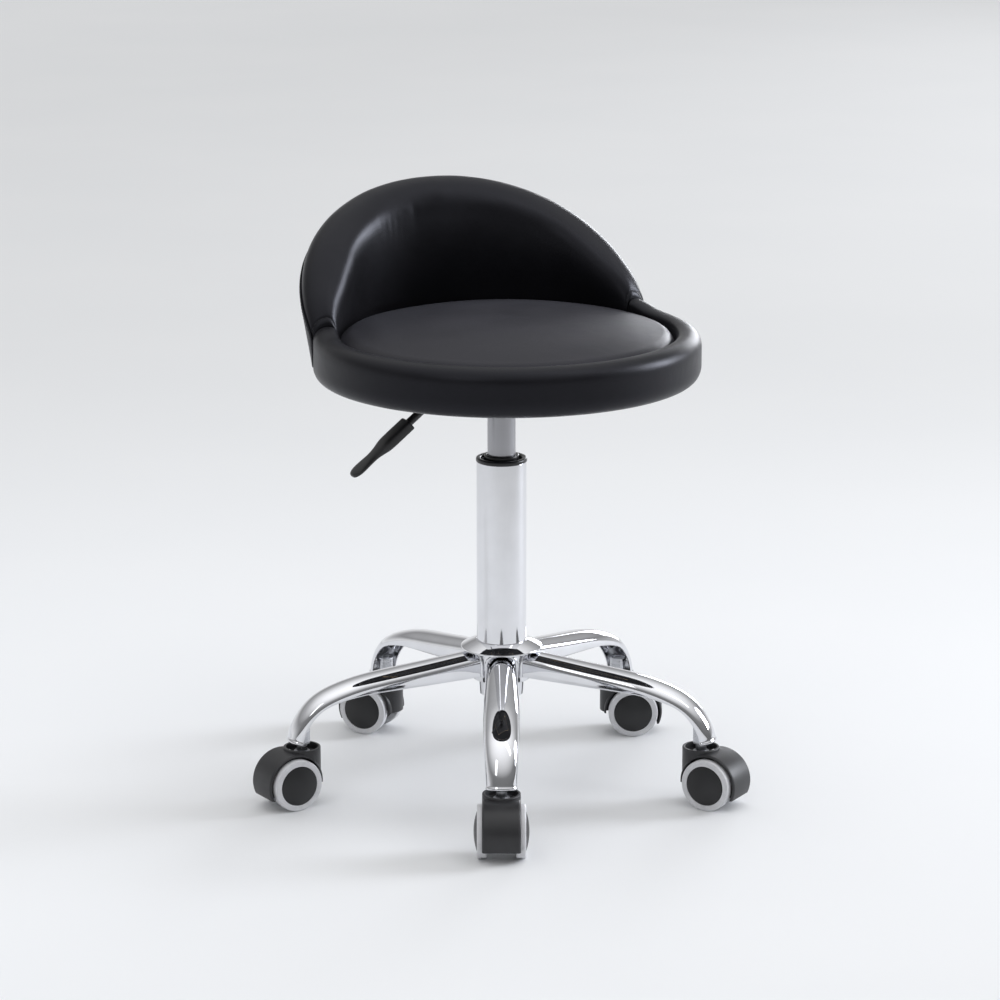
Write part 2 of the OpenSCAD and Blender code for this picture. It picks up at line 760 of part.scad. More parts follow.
// Rectangular sleeve that flattens into a rounded paddle
module lever_handle() color("#151517") {
    edge = 1.5;
    paddle_r = 10;
    paddle_t = 6;
    neck_x = sleeve_start + sleeve_len;
    tip_x = sleeve_start + handle_len - paddle_r;
    at_bend() difference() {
        union() {
            hull() for (x = [sleeve_start + edge, neck_x - 6], y = [-1, 1], z = [-1, 1])
                translate([x, y * (sleeve_w / 2 - edge), z * (sleeve_t / 2 - edge)]) sphere(edge, $fn = 24);
            hull() {
                for (y = [-1, 1], z = [-1, 1])
                    translate([neck_x - 6, y * (sleeve_w / 2 - edge), z * (sleeve_t / 2 - edge)])
                        sphere(edge, $fn = 24);
                translate([neck_x + 10, 0, -paddle_t / 2]) cylinder(r = 7, h = paddle_t, $fn = 32);
            }
            hull() {
                translate([neck_x + 6, 0, -paddle_t / 2]) cylinder(r = 7.5, h = paddle_t, $fn = 32);
                translate([tip_x, 0, -paddle_t / 2]) cylinder(r = paddle_r, h = paddle_t, $fn = 32);
            }
        }
        translate([sleeve_start - 1, 0, 0]) rotate([0, 90, 0])
            cylinder(r = lever_r + fit_gap, h = rod_in_sleeve + 1.2);
    }
}

hub_tube();
hub_collar();
for (i = [1:5]) leg(i);
caster_sockets();
caster_stems();
grip_rings();
column_tube();
guide_bush();
thrust_bearing();
piston_rod();
rubber_bumper();
retaining_clip();
gas_cylinder();
seat_plate();
plate_bolts();
tee_nuts();
seat_board();
dust_cover();
seat_pad();
rim_bolster();
backrest();
back_panel();
lever_pin();
lever_rod();
lever_handle();
valve_pin();
for (i = [1:5]) caster_hood(i);
for (i = [1:5]) caster_axle(i);
for (i = [1:5], s = sides) caster_wheel(i, s);
for (i = [1:5], s = sides) caster_tyre(i, s);
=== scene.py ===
"""Rolling stylist stool: an upholstered swivel seat with a low back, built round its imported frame."""

import json
import math

import bmesh
import bpy
from bpy.props import FloatProperty, FloatVectorProperty, IntProperty, PointerProperty
from mathutils import Matrix, Vector, noise


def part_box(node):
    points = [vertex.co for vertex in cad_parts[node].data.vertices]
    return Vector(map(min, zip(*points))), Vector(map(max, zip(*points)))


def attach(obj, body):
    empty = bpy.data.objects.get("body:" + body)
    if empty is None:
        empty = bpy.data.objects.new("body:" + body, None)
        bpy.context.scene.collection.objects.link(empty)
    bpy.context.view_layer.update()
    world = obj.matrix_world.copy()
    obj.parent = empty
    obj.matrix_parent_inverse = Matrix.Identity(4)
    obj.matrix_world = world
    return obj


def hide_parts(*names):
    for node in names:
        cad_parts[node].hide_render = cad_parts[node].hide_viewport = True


bl_info = {
    "name": "Rolling Stylist Stool",
    "version": (1, 0, 0),
    "blender": (4, 5, 0),
    "location": "View3D > Sidebar > Stool",
    "description": "Builds a padded rolling stool with a gas lift, a star base and twin-wheel casters",
    "category": "Add Mesh",
}

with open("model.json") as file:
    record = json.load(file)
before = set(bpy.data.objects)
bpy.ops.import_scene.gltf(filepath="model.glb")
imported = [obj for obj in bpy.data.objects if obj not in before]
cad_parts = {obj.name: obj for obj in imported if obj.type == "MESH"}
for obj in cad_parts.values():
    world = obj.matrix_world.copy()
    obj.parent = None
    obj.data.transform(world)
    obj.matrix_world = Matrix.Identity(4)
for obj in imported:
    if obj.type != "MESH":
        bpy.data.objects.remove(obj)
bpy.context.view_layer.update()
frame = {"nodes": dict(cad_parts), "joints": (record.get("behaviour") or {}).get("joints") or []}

MM = 0.001
LEGS = range(1, 6)
SIDES = ("left", "right")

# Where the frame says the main pieces are
RIM_LOW, RIM_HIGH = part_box("rim_bolster")
PAD_LOW, PAD_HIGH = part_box("seat_pad")
BUSH_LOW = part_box("guide_bush")[0]
TUBE_LOW, TUBE_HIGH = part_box("column_tube")
LIFT_LOW, LIFT_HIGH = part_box("gas_cylinder")
HUB_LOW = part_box("hub_tube")[0]
DOME_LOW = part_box("hub_collar")[0]
JOINTS = {joint["name"]: joint for joint in frame["joints"]}

# Fixed sizes, in millimetres
TUBE_R = 25.0        # outer tube
TUBE_WALL = 1.5
TAPER_TOP = 144.4    # where the tube starts to taper
TAPER = 0.062
HUB_R = 28.7
BORE_R = 5.3         # round the piston rod
TRAIL = 16.6         # from a caster's stem to its axle
AXLE_Z = 26
HOOD_HALF = 18.65    # half the hood's width, and its neck's radius
LEVER_Z = 411
LEVER_BEND_X = -65.5
LEVER_BEND = math.radians(38)
RIM_Z, RIM_TOP = RIM_LOW.z / MM, RIM_HIGH.z / MM
RIM_R, RIM_IN = RIM_HIGH.x / MM, 166.5
EDGE_R, GROOVE_R = 15, 8    # rounding of the outer and the inner edges of the covers
BACK_RISE = 125.6
PAD_CLEAR = 468.0    # the backrest stays beside the pad below this height
SEAM_R = 190         # radius on which distances from a seam are measured


# ---------------------------------------------------------------- settings


class StoolSizes(bpy.types.PropertyGroup):
    """Sizes of the visible pieces"""

    seat_centre: FloatProperty(
        name="Seat Centre", description="Place of the seat's centre along Y",
        default=RIM_LOW.y + RIM_HIGH.x, unit="LENGTH")
    pad_radius: FloatProperty(
        name="Pad Radius", description="Radius of the middle pad",
        default=PAD_HIGH.x, unit="LENGTH")
    back_angle: FloatProperty(
        name="Back Half Angle", description="Half the angle that the backrest spans",
        default=math.radians(72), unit="ROTATION")
    back_lean: FloatProperty(
        name="Back Lean", description="Outward lean of the backrest at its middle",
        default=15 * MM, unit="LENGTH")
    side_lean: FloatProperty(
        name="Side Lean", description="Further outward lean towards the ends of the backrest",
        default=22 * MM, unit="LENGTH")
    stem_circle: FloatProperty(
        name="Stem Circle", description="Radius of the circle of caster stems",
        default=Vector(JOINTS["caster_1_swivel"]["pos_m"][:2]).length, unit="LENGTH")
    cloth_frames: IntProperty(
        name="Cloth Frames", description="Frames of simulation for each padded piece", default=20)


class StoolFinish(bpy.types.PropertyGroup):
    """Colours of the visible pieces"""

    leather: FloatVectorProperty(
        name="Leather", description="Colour of the cover", subtype="COLOR", size=4,
        default=(0.0042, 0.0040, 0.0048, 1.0))
    hood: FloatVectorProperty(
        name="Hood", description="Colour of the caster hoods", subtype="COLOR", size=4,
        default=(0.017, 0.017, 0.019, 1.0))
    tread: FloatVectorProperty(
        name="Tread", description="Colour of the caster treads", subtype="COLOR", size=4,
        default=(0.66, 0.66, 0.68, 1.0))
    chrome: FloatVectorProperty(
        name="Chrome", description="Tint of the plated pieces", subtype="COLOR", size=4,
        default=(0.77, 0.775, 0.80, 1.0))


class StageSettings(bpy.types.PropertyGroup):
    """Floor, light and camera"""

    azimuth: FloatProperty(
        name="Azimuth", description="Direction of the camera round the stool",
        default=math.radians(-25), unit="ROTATION")
    pitch: FloatProperty(
        name="Pitch", description="Downward tilt of the camera",
        default=math.radians(14.309), unit="ROTATION")
    distance: FloatProperty(
        name="Distance", description="Level distance from the column to the camera",
        default=3.5475, unit="LENGTH")
    height: FloatProperty(
        name="Height", description="Height of the camera over the floor",
        default=1.1998, unit="LENGTH")
    lens: FloatProperty(
        name="Lens", description="Focal length", default=132.18, unit="CAMERA")


# ---------------------------------------------------------------- mesh helpers


def link_mesh(name, verts, faces, edges=()):
    """New mesh object from plain lists."""
    mesh = bpy.data.meshes.new(name)
    mesh.from_pydata([tuple(v) for v in verts], list(edges), [tuple(f) for f in faces])
    mesh.update()
    piece = bpy.data.objects.new(name, mesh)
    bpy.context.scene.collection.objects.link(piece)
    return piece


def shade(piece, angle=40):
    """Smooth shading with edges above the angle kept crisp."""
    mesh = piece.data
    mesh.polygons.foreach_set("use_smooth", [True] * len(mesh.polygons))
    mesh.set_sharp_from_angle(angle=math.radians(angle))
    return piece


def apply_stack(piece):
    """Writes the result of the modifiers into the mesh."""
    bpy.context.view_layer.update()
    graph = bpy.context.evaluated_depsgraph_get()
    done = bpy.data.meshes.new_from_object(piece.evaluated_get(graph))
    old = piece.data
    done.name = piece.name
    piece.modifiers.clear()
    piece.data = done
    bpy.data.meshes.remove(old)
    return piece


def place(piece, matrix):
    """Moves the mesh itself, so that the object stays at the origin."""
    piece.data.transform(matrix)
    piece.data.update()
    return piece


def copy_at(source, name, matrix):
    """A placed copy of a finished piece."""
    piece = bpy.data.objects.new(name, source.data.copy())
    piece.data.name = name
    bpy.context.scene.collection.objects.link(piece)
    return place(piece, matrix)


def drop(*pieces):
    """Removes helper objects."""
    for piece in pieces:
        mesh = piece.data
        bpy.data.objects.remove(piece)
        bpy.data.meshes.remove(mesh)


def subdivide(piece, levels):
    step = piece.modifiers.new("Subdivision", "SUBSURF")
    step.levels = levels
    step.render_levels = levels
    return step


def bevel(piece, width, segments=3, angle=30):
    step = piece.modifiers.new("Bevel", "BEVEL")
    step.width = width
    step.segments = segments
    step.limit_method = "ANGLE"
    step.angle_limit = math.radians(angle)
    step.harden_normals = True
    return step


def turned(name, profile, steps=96, closed=True):
    """Piece turned about Z from (radius, height) points that run down on the outside."""
    n = len(profile)
    verts = [(r, 0.0, z) for r, z in profile]
    edges = [(i, i + 1) for i in range(n - 1)]
    if closed:
        edges.append((n - 1, 0))
    piece = link_mesh(name, verts, [], edges)
    screw = piece.modifiers.new("Screw", "SCREW")
    screw.steps = steps
    screw.render_steps = steps
    screw.use_merge_vertices = True
    screw.merge_threshold = 0.00001
    screw.use_smooth_shade = True
    return piece


def rounded(points, radius, segments=4):
    """Profile with its corners rounded; a point is (r, z) or (r, z, own radius)."""
    out = []
    n = len(points)
    for i, point in enumerate(points):
        here = Vector(point[:2])
        size = point[2] if len(point) > 2 else radius
        before = (Vector(points[i - 1][:2]) - here)
        after = (Vector(points[(i + 1) % n][:2]) - here)
        reach = min(size, before.length * 0.45, after.length * 0.45)
        if reach < 1e-6:
            out.append(tuple(here))
            continue
        start = here + before.normalized() * reach
        end = here + after.normalized() * reach
        for k in range(segments + 1):
            t = k / segments
            out.append(tuple(start.lerp(here, t).lerp(here.lerp(end, t), t)))
    return out


def skin(name, rings, closed_rings=True, caps=True):
    """Surface through equal rings of points."""
    n = len(rings[0])
    verts = [p for ring in rings for p in ring]
    faces = []
    count = n if closed_rings else n - 1
    for i in range(len(rings) - 1):
        for j in range(count):
            k = (j + 1) % n
            faces.append((i * n + j, i * n + k, (i + 1) * n + k, (i + 1) * n + j))
    if caps:
        faces.append(tuple(range(n - 1, -1, -1)))
        last = (len(rings) - 1) * n
        faces.append(tuple(last + j for j in range(n)))
    return link_mesh(name, verts, faces)


def face_outwards(piece):
    mesh = bmesh.new()
    mesh.from_mesh(piece.data)
    bmesh.ops.recalc_face_normals(mesh, faces=mesh.faces)
    mesh.to_mesh(piece.data)
    mesh.free()
    return piece


def boolean(piece, cutter, operation):
    step = piece.modifiers.new("Boolean", "BOOLEAN")
    step.operation = operation
    step.object = cutter
    step.solver = "EXACT"
    apply_stack(piece)
    drop(cutter)
    return piece


def finish_piece(piece, body, material, replaced=()):
    """Gives a piece its material, body and slot, and hides the CAD nodes that it stands for."""
    piece.data.materials.clear()
    piece.data.materials.append(material)
    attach(piece, body)
    if replaced:
        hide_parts(*replaced)
    return piece


def sizes():
    return bpy.context.scene.stool_sizes


def finish():
    return bpy.context.scene.stool_finish


# ---------------------------------------------------------------- materials


def new_material(name):
    """New material with an empty node tree."""
    material = bpy.data.materials.new(name)
    material.use_nodes = True
    tree = material.node_tree
    tree.nodes.clear()
    return material, tree.nodes, tree.links


def add_node(nodes, kind, label, spot, values=()):
    """New shader node with its label, its spot in the editor and the values of its sockets."""
    node = nodes.new("ShaderNode" + kind)
    node.label = label
    node.location = spot
    for socket in values:
        node.inputs[socket].default_value = values[socket]
    return node


def set_tones(ramp, *tones):
    """Positions and colours of a ramp's stops."""
    for stop, (position, colour) in zip(ramp.color_ramp.elements, tones):
        stop.position = position
        stop.color = colour


def shaded(colour, factor):
    """A colour made darker or lighter."""
    return tuple(c * factor for c in colour[:3]) + (1.0,)


def wire(links, *pairs):
    """Links given as source node, output, target node, input."""
    for source, output, target, socket in pairs:
        links.new(source.outputs[output], target.inputs[socket])


def frame_nodes(nodes, label, members):
    """Groups nodes under a labelled frame."""
    group = nodes.new("NodeFrame")
    group.label = label
    for node in members:
        node.parent = group
    return group


def chrome_material(name, tint, haze):
    """Polished plating: mirror gloss with faint polishing haze and a slight waviness."""
    material, nodes, links = new_material(name)
    output = add_node(nodes, "OutputMaterial", "Plated surface", (600, 0))
    shader = add_node(nodes, "BsdfPrincipled", "Plating", (300, 0), {"Metallic": 1.0})
    place_node = add_node(nodes, "TexCoord", "Place on the piece", (-900, 0))
    haze_noise = add_node(nodes, "TexNoise", "Handling haze", (-600, 120), {"Scale": 42.0, "Detail": 6.0})
    haze_range = add_node(nodes, "MapRange", "Gloss left by polishing", (-300, 120), {
        "From Min": 0.45, "From Max": 0.75, "To Min": haze, "To Max": haze * 2.4})
    tone = add_node(nodes, "ValToRGB", "Dust in the plating's tone", (-300, 400))
    set_tones(tone, (0.35, tint), (0.8, shaded(tint, 0.93)))
    wave = add_node(nodes, "TexNoise", "Waviness of pressed steel", (-600, -220), {
        "Scale": 28.0, "Detail": 1.0})
    bump = add_node(nodes, "Bump", "Waviness", (-60, -220), {"Strength": 0.06, "Distance": 0.001})
    wire(links, (place_node, "Object", haze_noise, "Vector"), (place_node, "Object", wave, "Vector"),
         (haze_noise, "Fac", haze_range, "Value"), (haze_noise, "Fac", tone, "Fac"),
         (haze_range, "Result", shader, "Roughness"), (tone, "Color", shader, "Base Color"),
         (wave, "Fac", bump, "Height"), (bump, "Normal", shader, "Normal"),
         (shader, "BSDF", output, "Surface"))
    frame_nodes(nodes, "Gloss and tone", [haze_noise, haze_range, tone])
    frame_nodes(nodes, "Waviness", [wave, bump])
    return material


def drawn_metal_material(name, colour, roughness, stretch, depth):
    """Bare or zinc-plated steel with fine drawing or turning marks across the stretched axis."""
    material, nodes, links = new_material(name)
    output = add_node(nodes, "OutputMaterial", "Metal surface", (600, 0))
    shader = add_node(nodes, "BsdfPrincipled", "Steel", (300, 0), {"Metallic": 1.0})
    place_node = add_node(nodes, "TexCoord", "Place on the piece", (-1000, 0))
    mapping = add_node(nodes, "Mapping", "Stretch into marks", (-800, 0), {"Scale": stretch})
    marks = add_node(nodes, "TexNoise", "Drawing marks", (-580, 120), {"Scale": 60.0, "Detail": 5.0})
    tone = add_node(nodes, "ValToRGB", "Tone of the marks", (-320, 300))
    set_tones(tone, (0.3, shaded(colour, 0.82)), (0.7, colour))
    gloss = add_node(nodes, "MapRange", "Gloss of the marks", (-320, 40), {
        "To Min": roughness * 0.8, "To Max": roughness * 1.25})
    bump = add_node(nodes, "Bump", "Depth of the marks", (-60, -220), {
        "Strength": 0.25, "Distance": depth})
    wire(links, (place_node, "Object", mapping, "Vector"), (mapping, "Vector", marks, "Vector"),
         (marks, "Fac", tone, "Fac"), (marks, "Fac", gloss, "Value"), (marks, "Fac", bump, "Height"),
         (tone, "Color", shader, "Base Color"), (gloss, "Result", shader, "Roughness"),
         (bump, "Normal", shader, "Normal"), (shader, "BSDF", output, "Surface"))
    frame_nodes(nodes, "Drawing marks", [mapping, marks, tone, gloss, bump])
    return material


def plastic_material(name, colour, roughness, grain_scale, grain_depth):
    """Moulded nylon: spark-eroded grain, uneven gloss and a little dust in the tone."""
    material, nodes, links = new_material(name)
    output = add_node(nodes, "OutputMaterial", "Moulded surface", (600, 0))
    shader = add_node(nodes, "BsdfPrincipled", "Nylon", (300, 0), {"IOR": 1.5})
    place_node = add_node(nodes, "TexCoord", "Place on the piece", (-1000, 0))
    grain = add_node(nodes, "TexVoronoi", "Grain of the mould", (-700, -200), {"Scale": grain_scale})
    bump = add_node(nodes, "Bump", "Grain depth", (-100, -220), {
        "Strength": 0.5, "Distance": grain_depth})
    flow = add_node(nodes, "TexNoise", "Flow and handling", (-700, 160), {"Scale": 55.0, "Detail": 5.0})
    tone = add_node(nodes, "ValToRGB", "Dust in the tone", (-400, 320))
    set_tones(tone, (0.4, colour), (0.75, tuple(min(1.0, c * 1.35 + 0.002) for c in colour[:3]) + (1.0,)))
    gloss = add_node(nodes, "MapRange", "Uneven gloss", (-400, 60), {
        "To Min": roughness * 0.85, "To Max": min(1.0, roughness * 1.2)})
    wire(links, (place_node, "Object", grain, "Vector"), (place_node, "Object", flow, "Vector"),
         (grain, "Distance", bump, "Height"), (flow, "Fac", tone, "Fac"), (flow, "Fac", gloss, "Value"),
         (tone, "Color", shader, "Base Color"), (gloss, "Result", shader, "Roughness"),
         (bump, "Normal", shader, "Normal"), (shader, "BSDF", output, "Surface"))
    frame_nodes(nodes, "Mould grain", [grain, bump])
    frame_nodes(nodes, "Tone and gloss", [flow, tone, gloss])
    return material


def tread_material(name, colour):
    """Soft white polyurethane with faint scuffs and dust."""
    material, nodes, links = new_material(name)
    output = add_node(nodes, "OutputMaterial", "Tread surface", (600, 0))
    shader = add_node(nodes, "BsdfPrincipled", "Polyurethane", (300, 0), {
        "Subsurface Weight": 0.15, "Subsurface Radius": (0.003, 0.003, 0.003), "Subsurface Scale": 0.5})
    place_node = add_node(nodes, "TexCoord", "Place on the piece", (-1000, 0))
    scuff = add_node(nodes, "TexNoise", "Scuffs from the floor", (-700, 160), {
        "Scale": 120.0, "Detail": 8.0, "Roughness": 0.65})
    tone = add_node(nodes, "ValToRGB", "Dust on the tread", (-400, 320))
    set_tones(tone, (0.5, colour), (0.85, shaded(colour, 0.8)))
    gloss = add_node(nodes, "MapRange", "Uneven gloss", (-400, 60), {"To Min": 0.3, "To Max": 0.5})
    bump = add_node(nodes, "Bump", "Scuff depth", (-100, -220), {"Strength": 0.2, "Distance": 0.0002})
    wire(links, (place_node, "Object", scuff, "Vector"), (scuff, "Fac", tone, "Fac"),
         (scuff, "Fac", gloss, "Value"), (scuff, "Fac", bump, "Height"),
         (tone, "Color", shader, "Base Color"), (gloss, "Result", shader, "Roughness"),
         (bump, "Normal", shader, "Normal"), (shader, "BSDF", output, "Surface"))
    frame_nodes(nodes, "Scuffs", [scuff, tone, gloss, bump])
    return material


def leather_material(name, colour, roughness, lift):
    """Synthetic leather: pebble grain, soft creases, worn gloss and painted shade darkening it along the
    seams.
    """
    material, nodes, links = new_material(name)
    output = add_node(nodes, "OutputMaterial", "Cover surface", (900, 0))
    shader = add_node(nodes, "BsdfPrincipled", "Cover", (600, 0), {
        "IOR": 1.5, "Specular IOR Level": 0.25, "Specular Tint": (0.84, 0.86, 1.0, 1.0),
        "Sheen Weight": lift, "Sheen Roughness": 0.4, "Sheen Tint": (0.8, 0.82, 0.95, 1.0)})
    place_node = add_node(nodes, "TexCoord", "Place on the piece", (-1300, 0))
    warp = add_node(nodes, "TexNoise", "Uneven grain flow", (-1100, -260), {
        "Scale": 190.0, "Detail": 2.0})
    bend = add_node(nodes, "VectorMath", "Shift the grain", (-900, -160), {1: (0.0012, 0.0012, 0.0012)})
    bend.operation = "MULTIPLY_ADD"
    pebble = add_node(nodes, "TexVoronoi", "Pebble grain", (-700, -160), {"Scale": 1050.0})
    pebble.feature = "SMOOTH_F1"
    pebble.inputs["Smoothness"].default_value = 0.4
    crease = add_node(nodes, "TexNoise", "Soft creases", (-700, -460), {
        "Scale": 46.0, "Detail": 4.0, "Distortion": 0.6})
    grain_bump = add_node(nodes, "Bump", "Grain depth", (60, -260), {
        "Strength": 0.32, "Distance": 0.00022})
    crease_bump = add_node(nodes, "Bump", "Crease depth", (300, -360), {
        "Strength": 0.10, "Distance": 0.0022})
    worn = add_node(nodes, "TexNoise", "Wear of sitting", (-700, 200), {"Scale": 16.0, "Detail": 5.0})
    tone = add_node(nodes, "ValToRGB", "Tone of wear", (-400, 420))
    set_tones(tone, (0.35, colour), (0.72, shaded(colour, 1.45)))
    # Painted shade: the colour is darkened to 0.45 where the 'seam' attribute marks seam grooves and
    # joints between cover pieces.
    seam = add_node(nodes, "Attribute", "Nearness of a seam", (-400, 640))
    seam.attribute_name = "seam"
    seam_shade = add_node(nodes, "Mix", "Painted shade at the seams", (0, 420))
    seam_shade.data_type = "RGBA"
    seam_shade.inputs["B"].default_value = shaded(colour, 0.45)
    gloss = add_node(nodes, "MapRange", "Gloss of wear", (-400, 120), {
        "From Min": 0.3, "From Max": 0.7, "To Min": roughness * 0.9, "To Max": roughness * 1.15})
    wire(links, (place_node, "Object", warp, "Vector"), (warp, "Color", bend, 0),
         (place_node, "Object", bend, 2), (bend, "Vector", pebble, "Vector"),
         (place_node, "Object", crease, "Vector"), (place_node, "Object", worn, "Vector"),
         (pebble, "Distance", grain_bump, "Height"), (crease, "Fac", crease_bump, "Height"),
         (grain_bump, "Normal", crease_bump, "Normal"), (crease_bump, "Normal", shader, "Normal"),
         (worn, "Fac", tone, "Fac"), (worn, "Fac", gloss, "Value"), (seam, "Fac", seam_shade, "Factor"),
         (tone, "Color", seam_shade, "A"), (seam_shade, "Result", shader, "Base Color"),
         (gloss, "Result", shader, "Roughness"), (shader, "BSDF", output, "Surface"))
    frame_nodes(nodes, "Pebble grain", [warp, bend, pebble, grain_bump])
    frame_nodes(nodes, "Creases", [crease, crease_bump])
    frame_nodes(nodes, "Wear and painted seam shade", [worn, tone, gloss, seam, seam_shade])
    return material


def board_material(name):
    """Birch plywood with lengthwise figure."""
    material, nodes, links = new_material(name)
    output = add_node(nodes, "OutputMaterial", "Board surface", (600, 0))
    shader = add_node(nodes, "BsdfPrincipled", "Plywood", (300, 0), {"Roughness": 0.62})
    place_node = add_node(nodes, "TexCoord", "Place on the piece", (-1000, 0))
    mapping = add_node(nodes, "Mapping", "Run of the grain", (-800, 0), {"Scale": (1.0, 14.0, 14.0)})
    figure = add_node(nodes, "TexNoise", "Wood figure", (-580, 0), {
        "Scale": 9.0, "Detail": 8.0, "Distortion": 0.4})
    tone = add_node(nodes, "ValToRGB", "Birch tones", (-300, 100))
    set_tones(tone, (0.3, (0.42, 0.27, 0.14, 1.0)), (0.7, (0.62, 0.46, 0.28, 1.0)))
    bump = add_node(nodes, "Bump", "Open grain", (-60, -220), {"Strength": 0.3, "Distance": 0.0003})
    wire(links, (place_node, "Object", mapping, "Vector"), (mapping, "Vector", figure, "Vector"),
         (figure, "Fac", tone, "Fac"), (figure, "Fac", bump, "Height"),
         (tone, "Color", shader, "Base Color"), (bump, "Normal", shader, "Normal"),
         (shader, "BSDF", output, "Surface"))
    frame_nodes(nodes, "Wood figure", [mapping, figure, tone, bump])
    return material


def cloth_material(name):
    """Thin black felted cloth under the seat, with dust in its fibres."""
    material, nodes, links = new_material(name)
    output = add_node(nodes, "OutputMaterial", "Cloth surface", (600, 0))
    shader = add_node(nodes, "BsdfPrincipled", "Felted cloth", (300, 0), {
        "Roughness": 0.92, "Sheen Weight": 0.4, "Specular IOR Level": 0.2})
    place_node = add_node(nodes, "TexCoord", "Place on the piece", (-1000, 0))
    fibres = add_node(nodes, "TexNoise", "Felted fibres", (-700, 0), {
        "Scale": 900.0, "Detail": 4.0, "Distortion": 1.5})
    dots = add_node(nodes, "TexVoronoi", "Bonding dots", (-700, -300), {
        "Scale": 650.0, "Randomness": 0.15})
    tone = add_node(nodes, "ValToRGB", "Fibre tones", (-400, 200))
    set_tones(tone, (0.4, (0.008, 0.008, 0.009, 1.0)), (0.75, (0.028, 0.028, 0.030, 1.0)))
    bump = add_node(nodes, "Bump", "Bonding depth", (-60, -220), {"Strength": 0.6, "Distance": 0.0002})
    wire(links, (place_node, "Object", fibres, "Vector"), (place_node, "Object", dots, "Vector"),
         (fibres, "Fac", tone, "Fac"), (dots, "Distance", bump, "Height"),
         (tone, "Color", shader, "Base Color"), (bump, "Normal", shader, "Normal"),
         (shader, "BSDF", output, "Surface"))
    frame_nodes(nodes, "Fibres and bonding", [fibres, dots, tone, bump])
    return material


def floor_material(name):
    """Pale matt studio floor with the faintest mottling."""
    material, nodes, links = new_material(name)
    output = add_node(nodes, "OutputMaterial", "Floor surface", (600, 0))
    shader = add_node(nodes, "BsdfPrincipled", "Painted floor", (300, 0), {
        "Roughness": 0.75, "Specular IOR Level": 0.2})
    place_node = add_node(nodes, "TexCoord", "Place on the floor", (-800, 0))
    mottle = add_node(nodes, "TexNoise", "Mottling", (-500, 0), {"Scale": 2.0})
    tone = add_node(nodes, "ValToRGB", "Pale tones", (-200, 0))
    set_tones(tone, (0.0, (0.80, 0.81, 0.82, 1.0)), (1.0, (0.84, 0.845, 0.85, 1.0)))
    wire(links, (place_node, "Object", mottle, "Vector"), (mottle, "Fac", tone, "Fac"),
         (tone, "Color", shader, "Base Color"), (shader, "BSDF", output, "Surface"))
    frame_nodes(nodes, "Mottling", [mottle, tone])
    return material


MATERIALS = {}


def make_materials():
    """All finishes, made once."""
    look = finish()
    chrome = tuple(look.chrome)
    leather = tuple(look.leather)
    hood = tuple(look.hood)
    MATERIALS.update(
        chrome=chrome_material("Chrome", chrome, 0.035),
        cylinder=drawn_metal_material(
            "Satin cylinder steel", (0.40, 0.40, 0.42, 1.0), 0.30, (1.0, 1.0, 0.04), 0.00004),
        bright=drawn_metal_material(
            "Zinc plated steel", (0.62, 0.63, 0.66, 1.0), 0.28, (1.0, 1.0, 8.0), 0.00003),
        spring=drawn_metal_material(
            "Spring steel", (0.16, 0.16, 0.17, 1.0), 0.38, (1.0, 1.0, 6.0), 0.00003),
        black_steel=plastic_material(
            "Black powder coat", (0.012, 0.012, 0.013, 1.0), 0.36, 900.0, 0.00006),
        black_plastic=plastic_material(
            "Satin black plastic", (0.008, 0.008, 0.009, 1.0), 0.30, 1500.0, 0.00002),
        hood=plastic_material("Grained hood nylon", hood, 0.42, 1300.0, 0.00006),
        wheel=plastic_material(
            "Wheel nylon", (0.008, 0.008, 0.009, 1.0), 0.40, 1500.0, 0.00001),
        rubber=plastic_material(
            "Black rubber", (0.014, 0.014, 0.014, 1.0), 0.7, 1100.0, 0.00008),
        tread=tread_material("White tread", tuple(look.tread)),
        leather=leather_material("Black cover", leather, 0.36, 0.03),
        # Painted light: the pad's cover is the same leather painted 3.2 times lighter, standing in for the
        # top light that falls on the pad.
        pad_leather=leather_material(
            "Pad cover painted lighter for top light", shaded(leather, 3.2), 0.42, 0.05),
        thread=plastic_material(
            "Black thread", (0.012, 0.012, 0.014, 1.0), 0.55, 2500.0, 0.00008),
        board=board_material("Birch plywood"),
        dust=cloth_material("Dust cloth"),
        floor=floor_material("Studio floor"),
    )


# ---------------------------------------------------------------- base


def leg_turn(i):
    """Turn of leg i about the column."""
    place_of = JOINTS[f"caster_{i}_swivel"]["pos_m"]
    return Matrix.Rotation(math.atan2(place_of[1], place_of[0]), 4, "Z")


def caster_place(i):
    """Frame of caster i: the swivel axis is its Z, and the wheels trail along its X."""
    stem = Vector(JOINTS[f"caster_{i}_swivel"]["pos_m"])
    axle = Vector(JOINTS[f"caster_{i}_left_roll"]["pos_m"])
    trail = math.atan2(axle.y - stem.y, axle.x - stem.x)
    return Matrix.Translation((stem.x, stem.y, 0)) @ Matrix.Rotation(trail, 4, "Z")


def axle_place(i, side):
    """Frame of a wheel: its Z runs outwards along the axle."""
    axle = Vector(JOINTS[f"caster_{i}_{side}_roll"]["pos_m"])
    stem = Vector(JOINTS[f"caster_{i}_swivel"]["pos_m"])
    reach = (axle.xy - stem.xy).length
    quarter = math.radians(-90 if side == "left" else 90)
    return caster_place(i) @ Matrix.Translation((reach, 0, axle.z)) @ Matrix.Rotation(quarter, 4, "X")


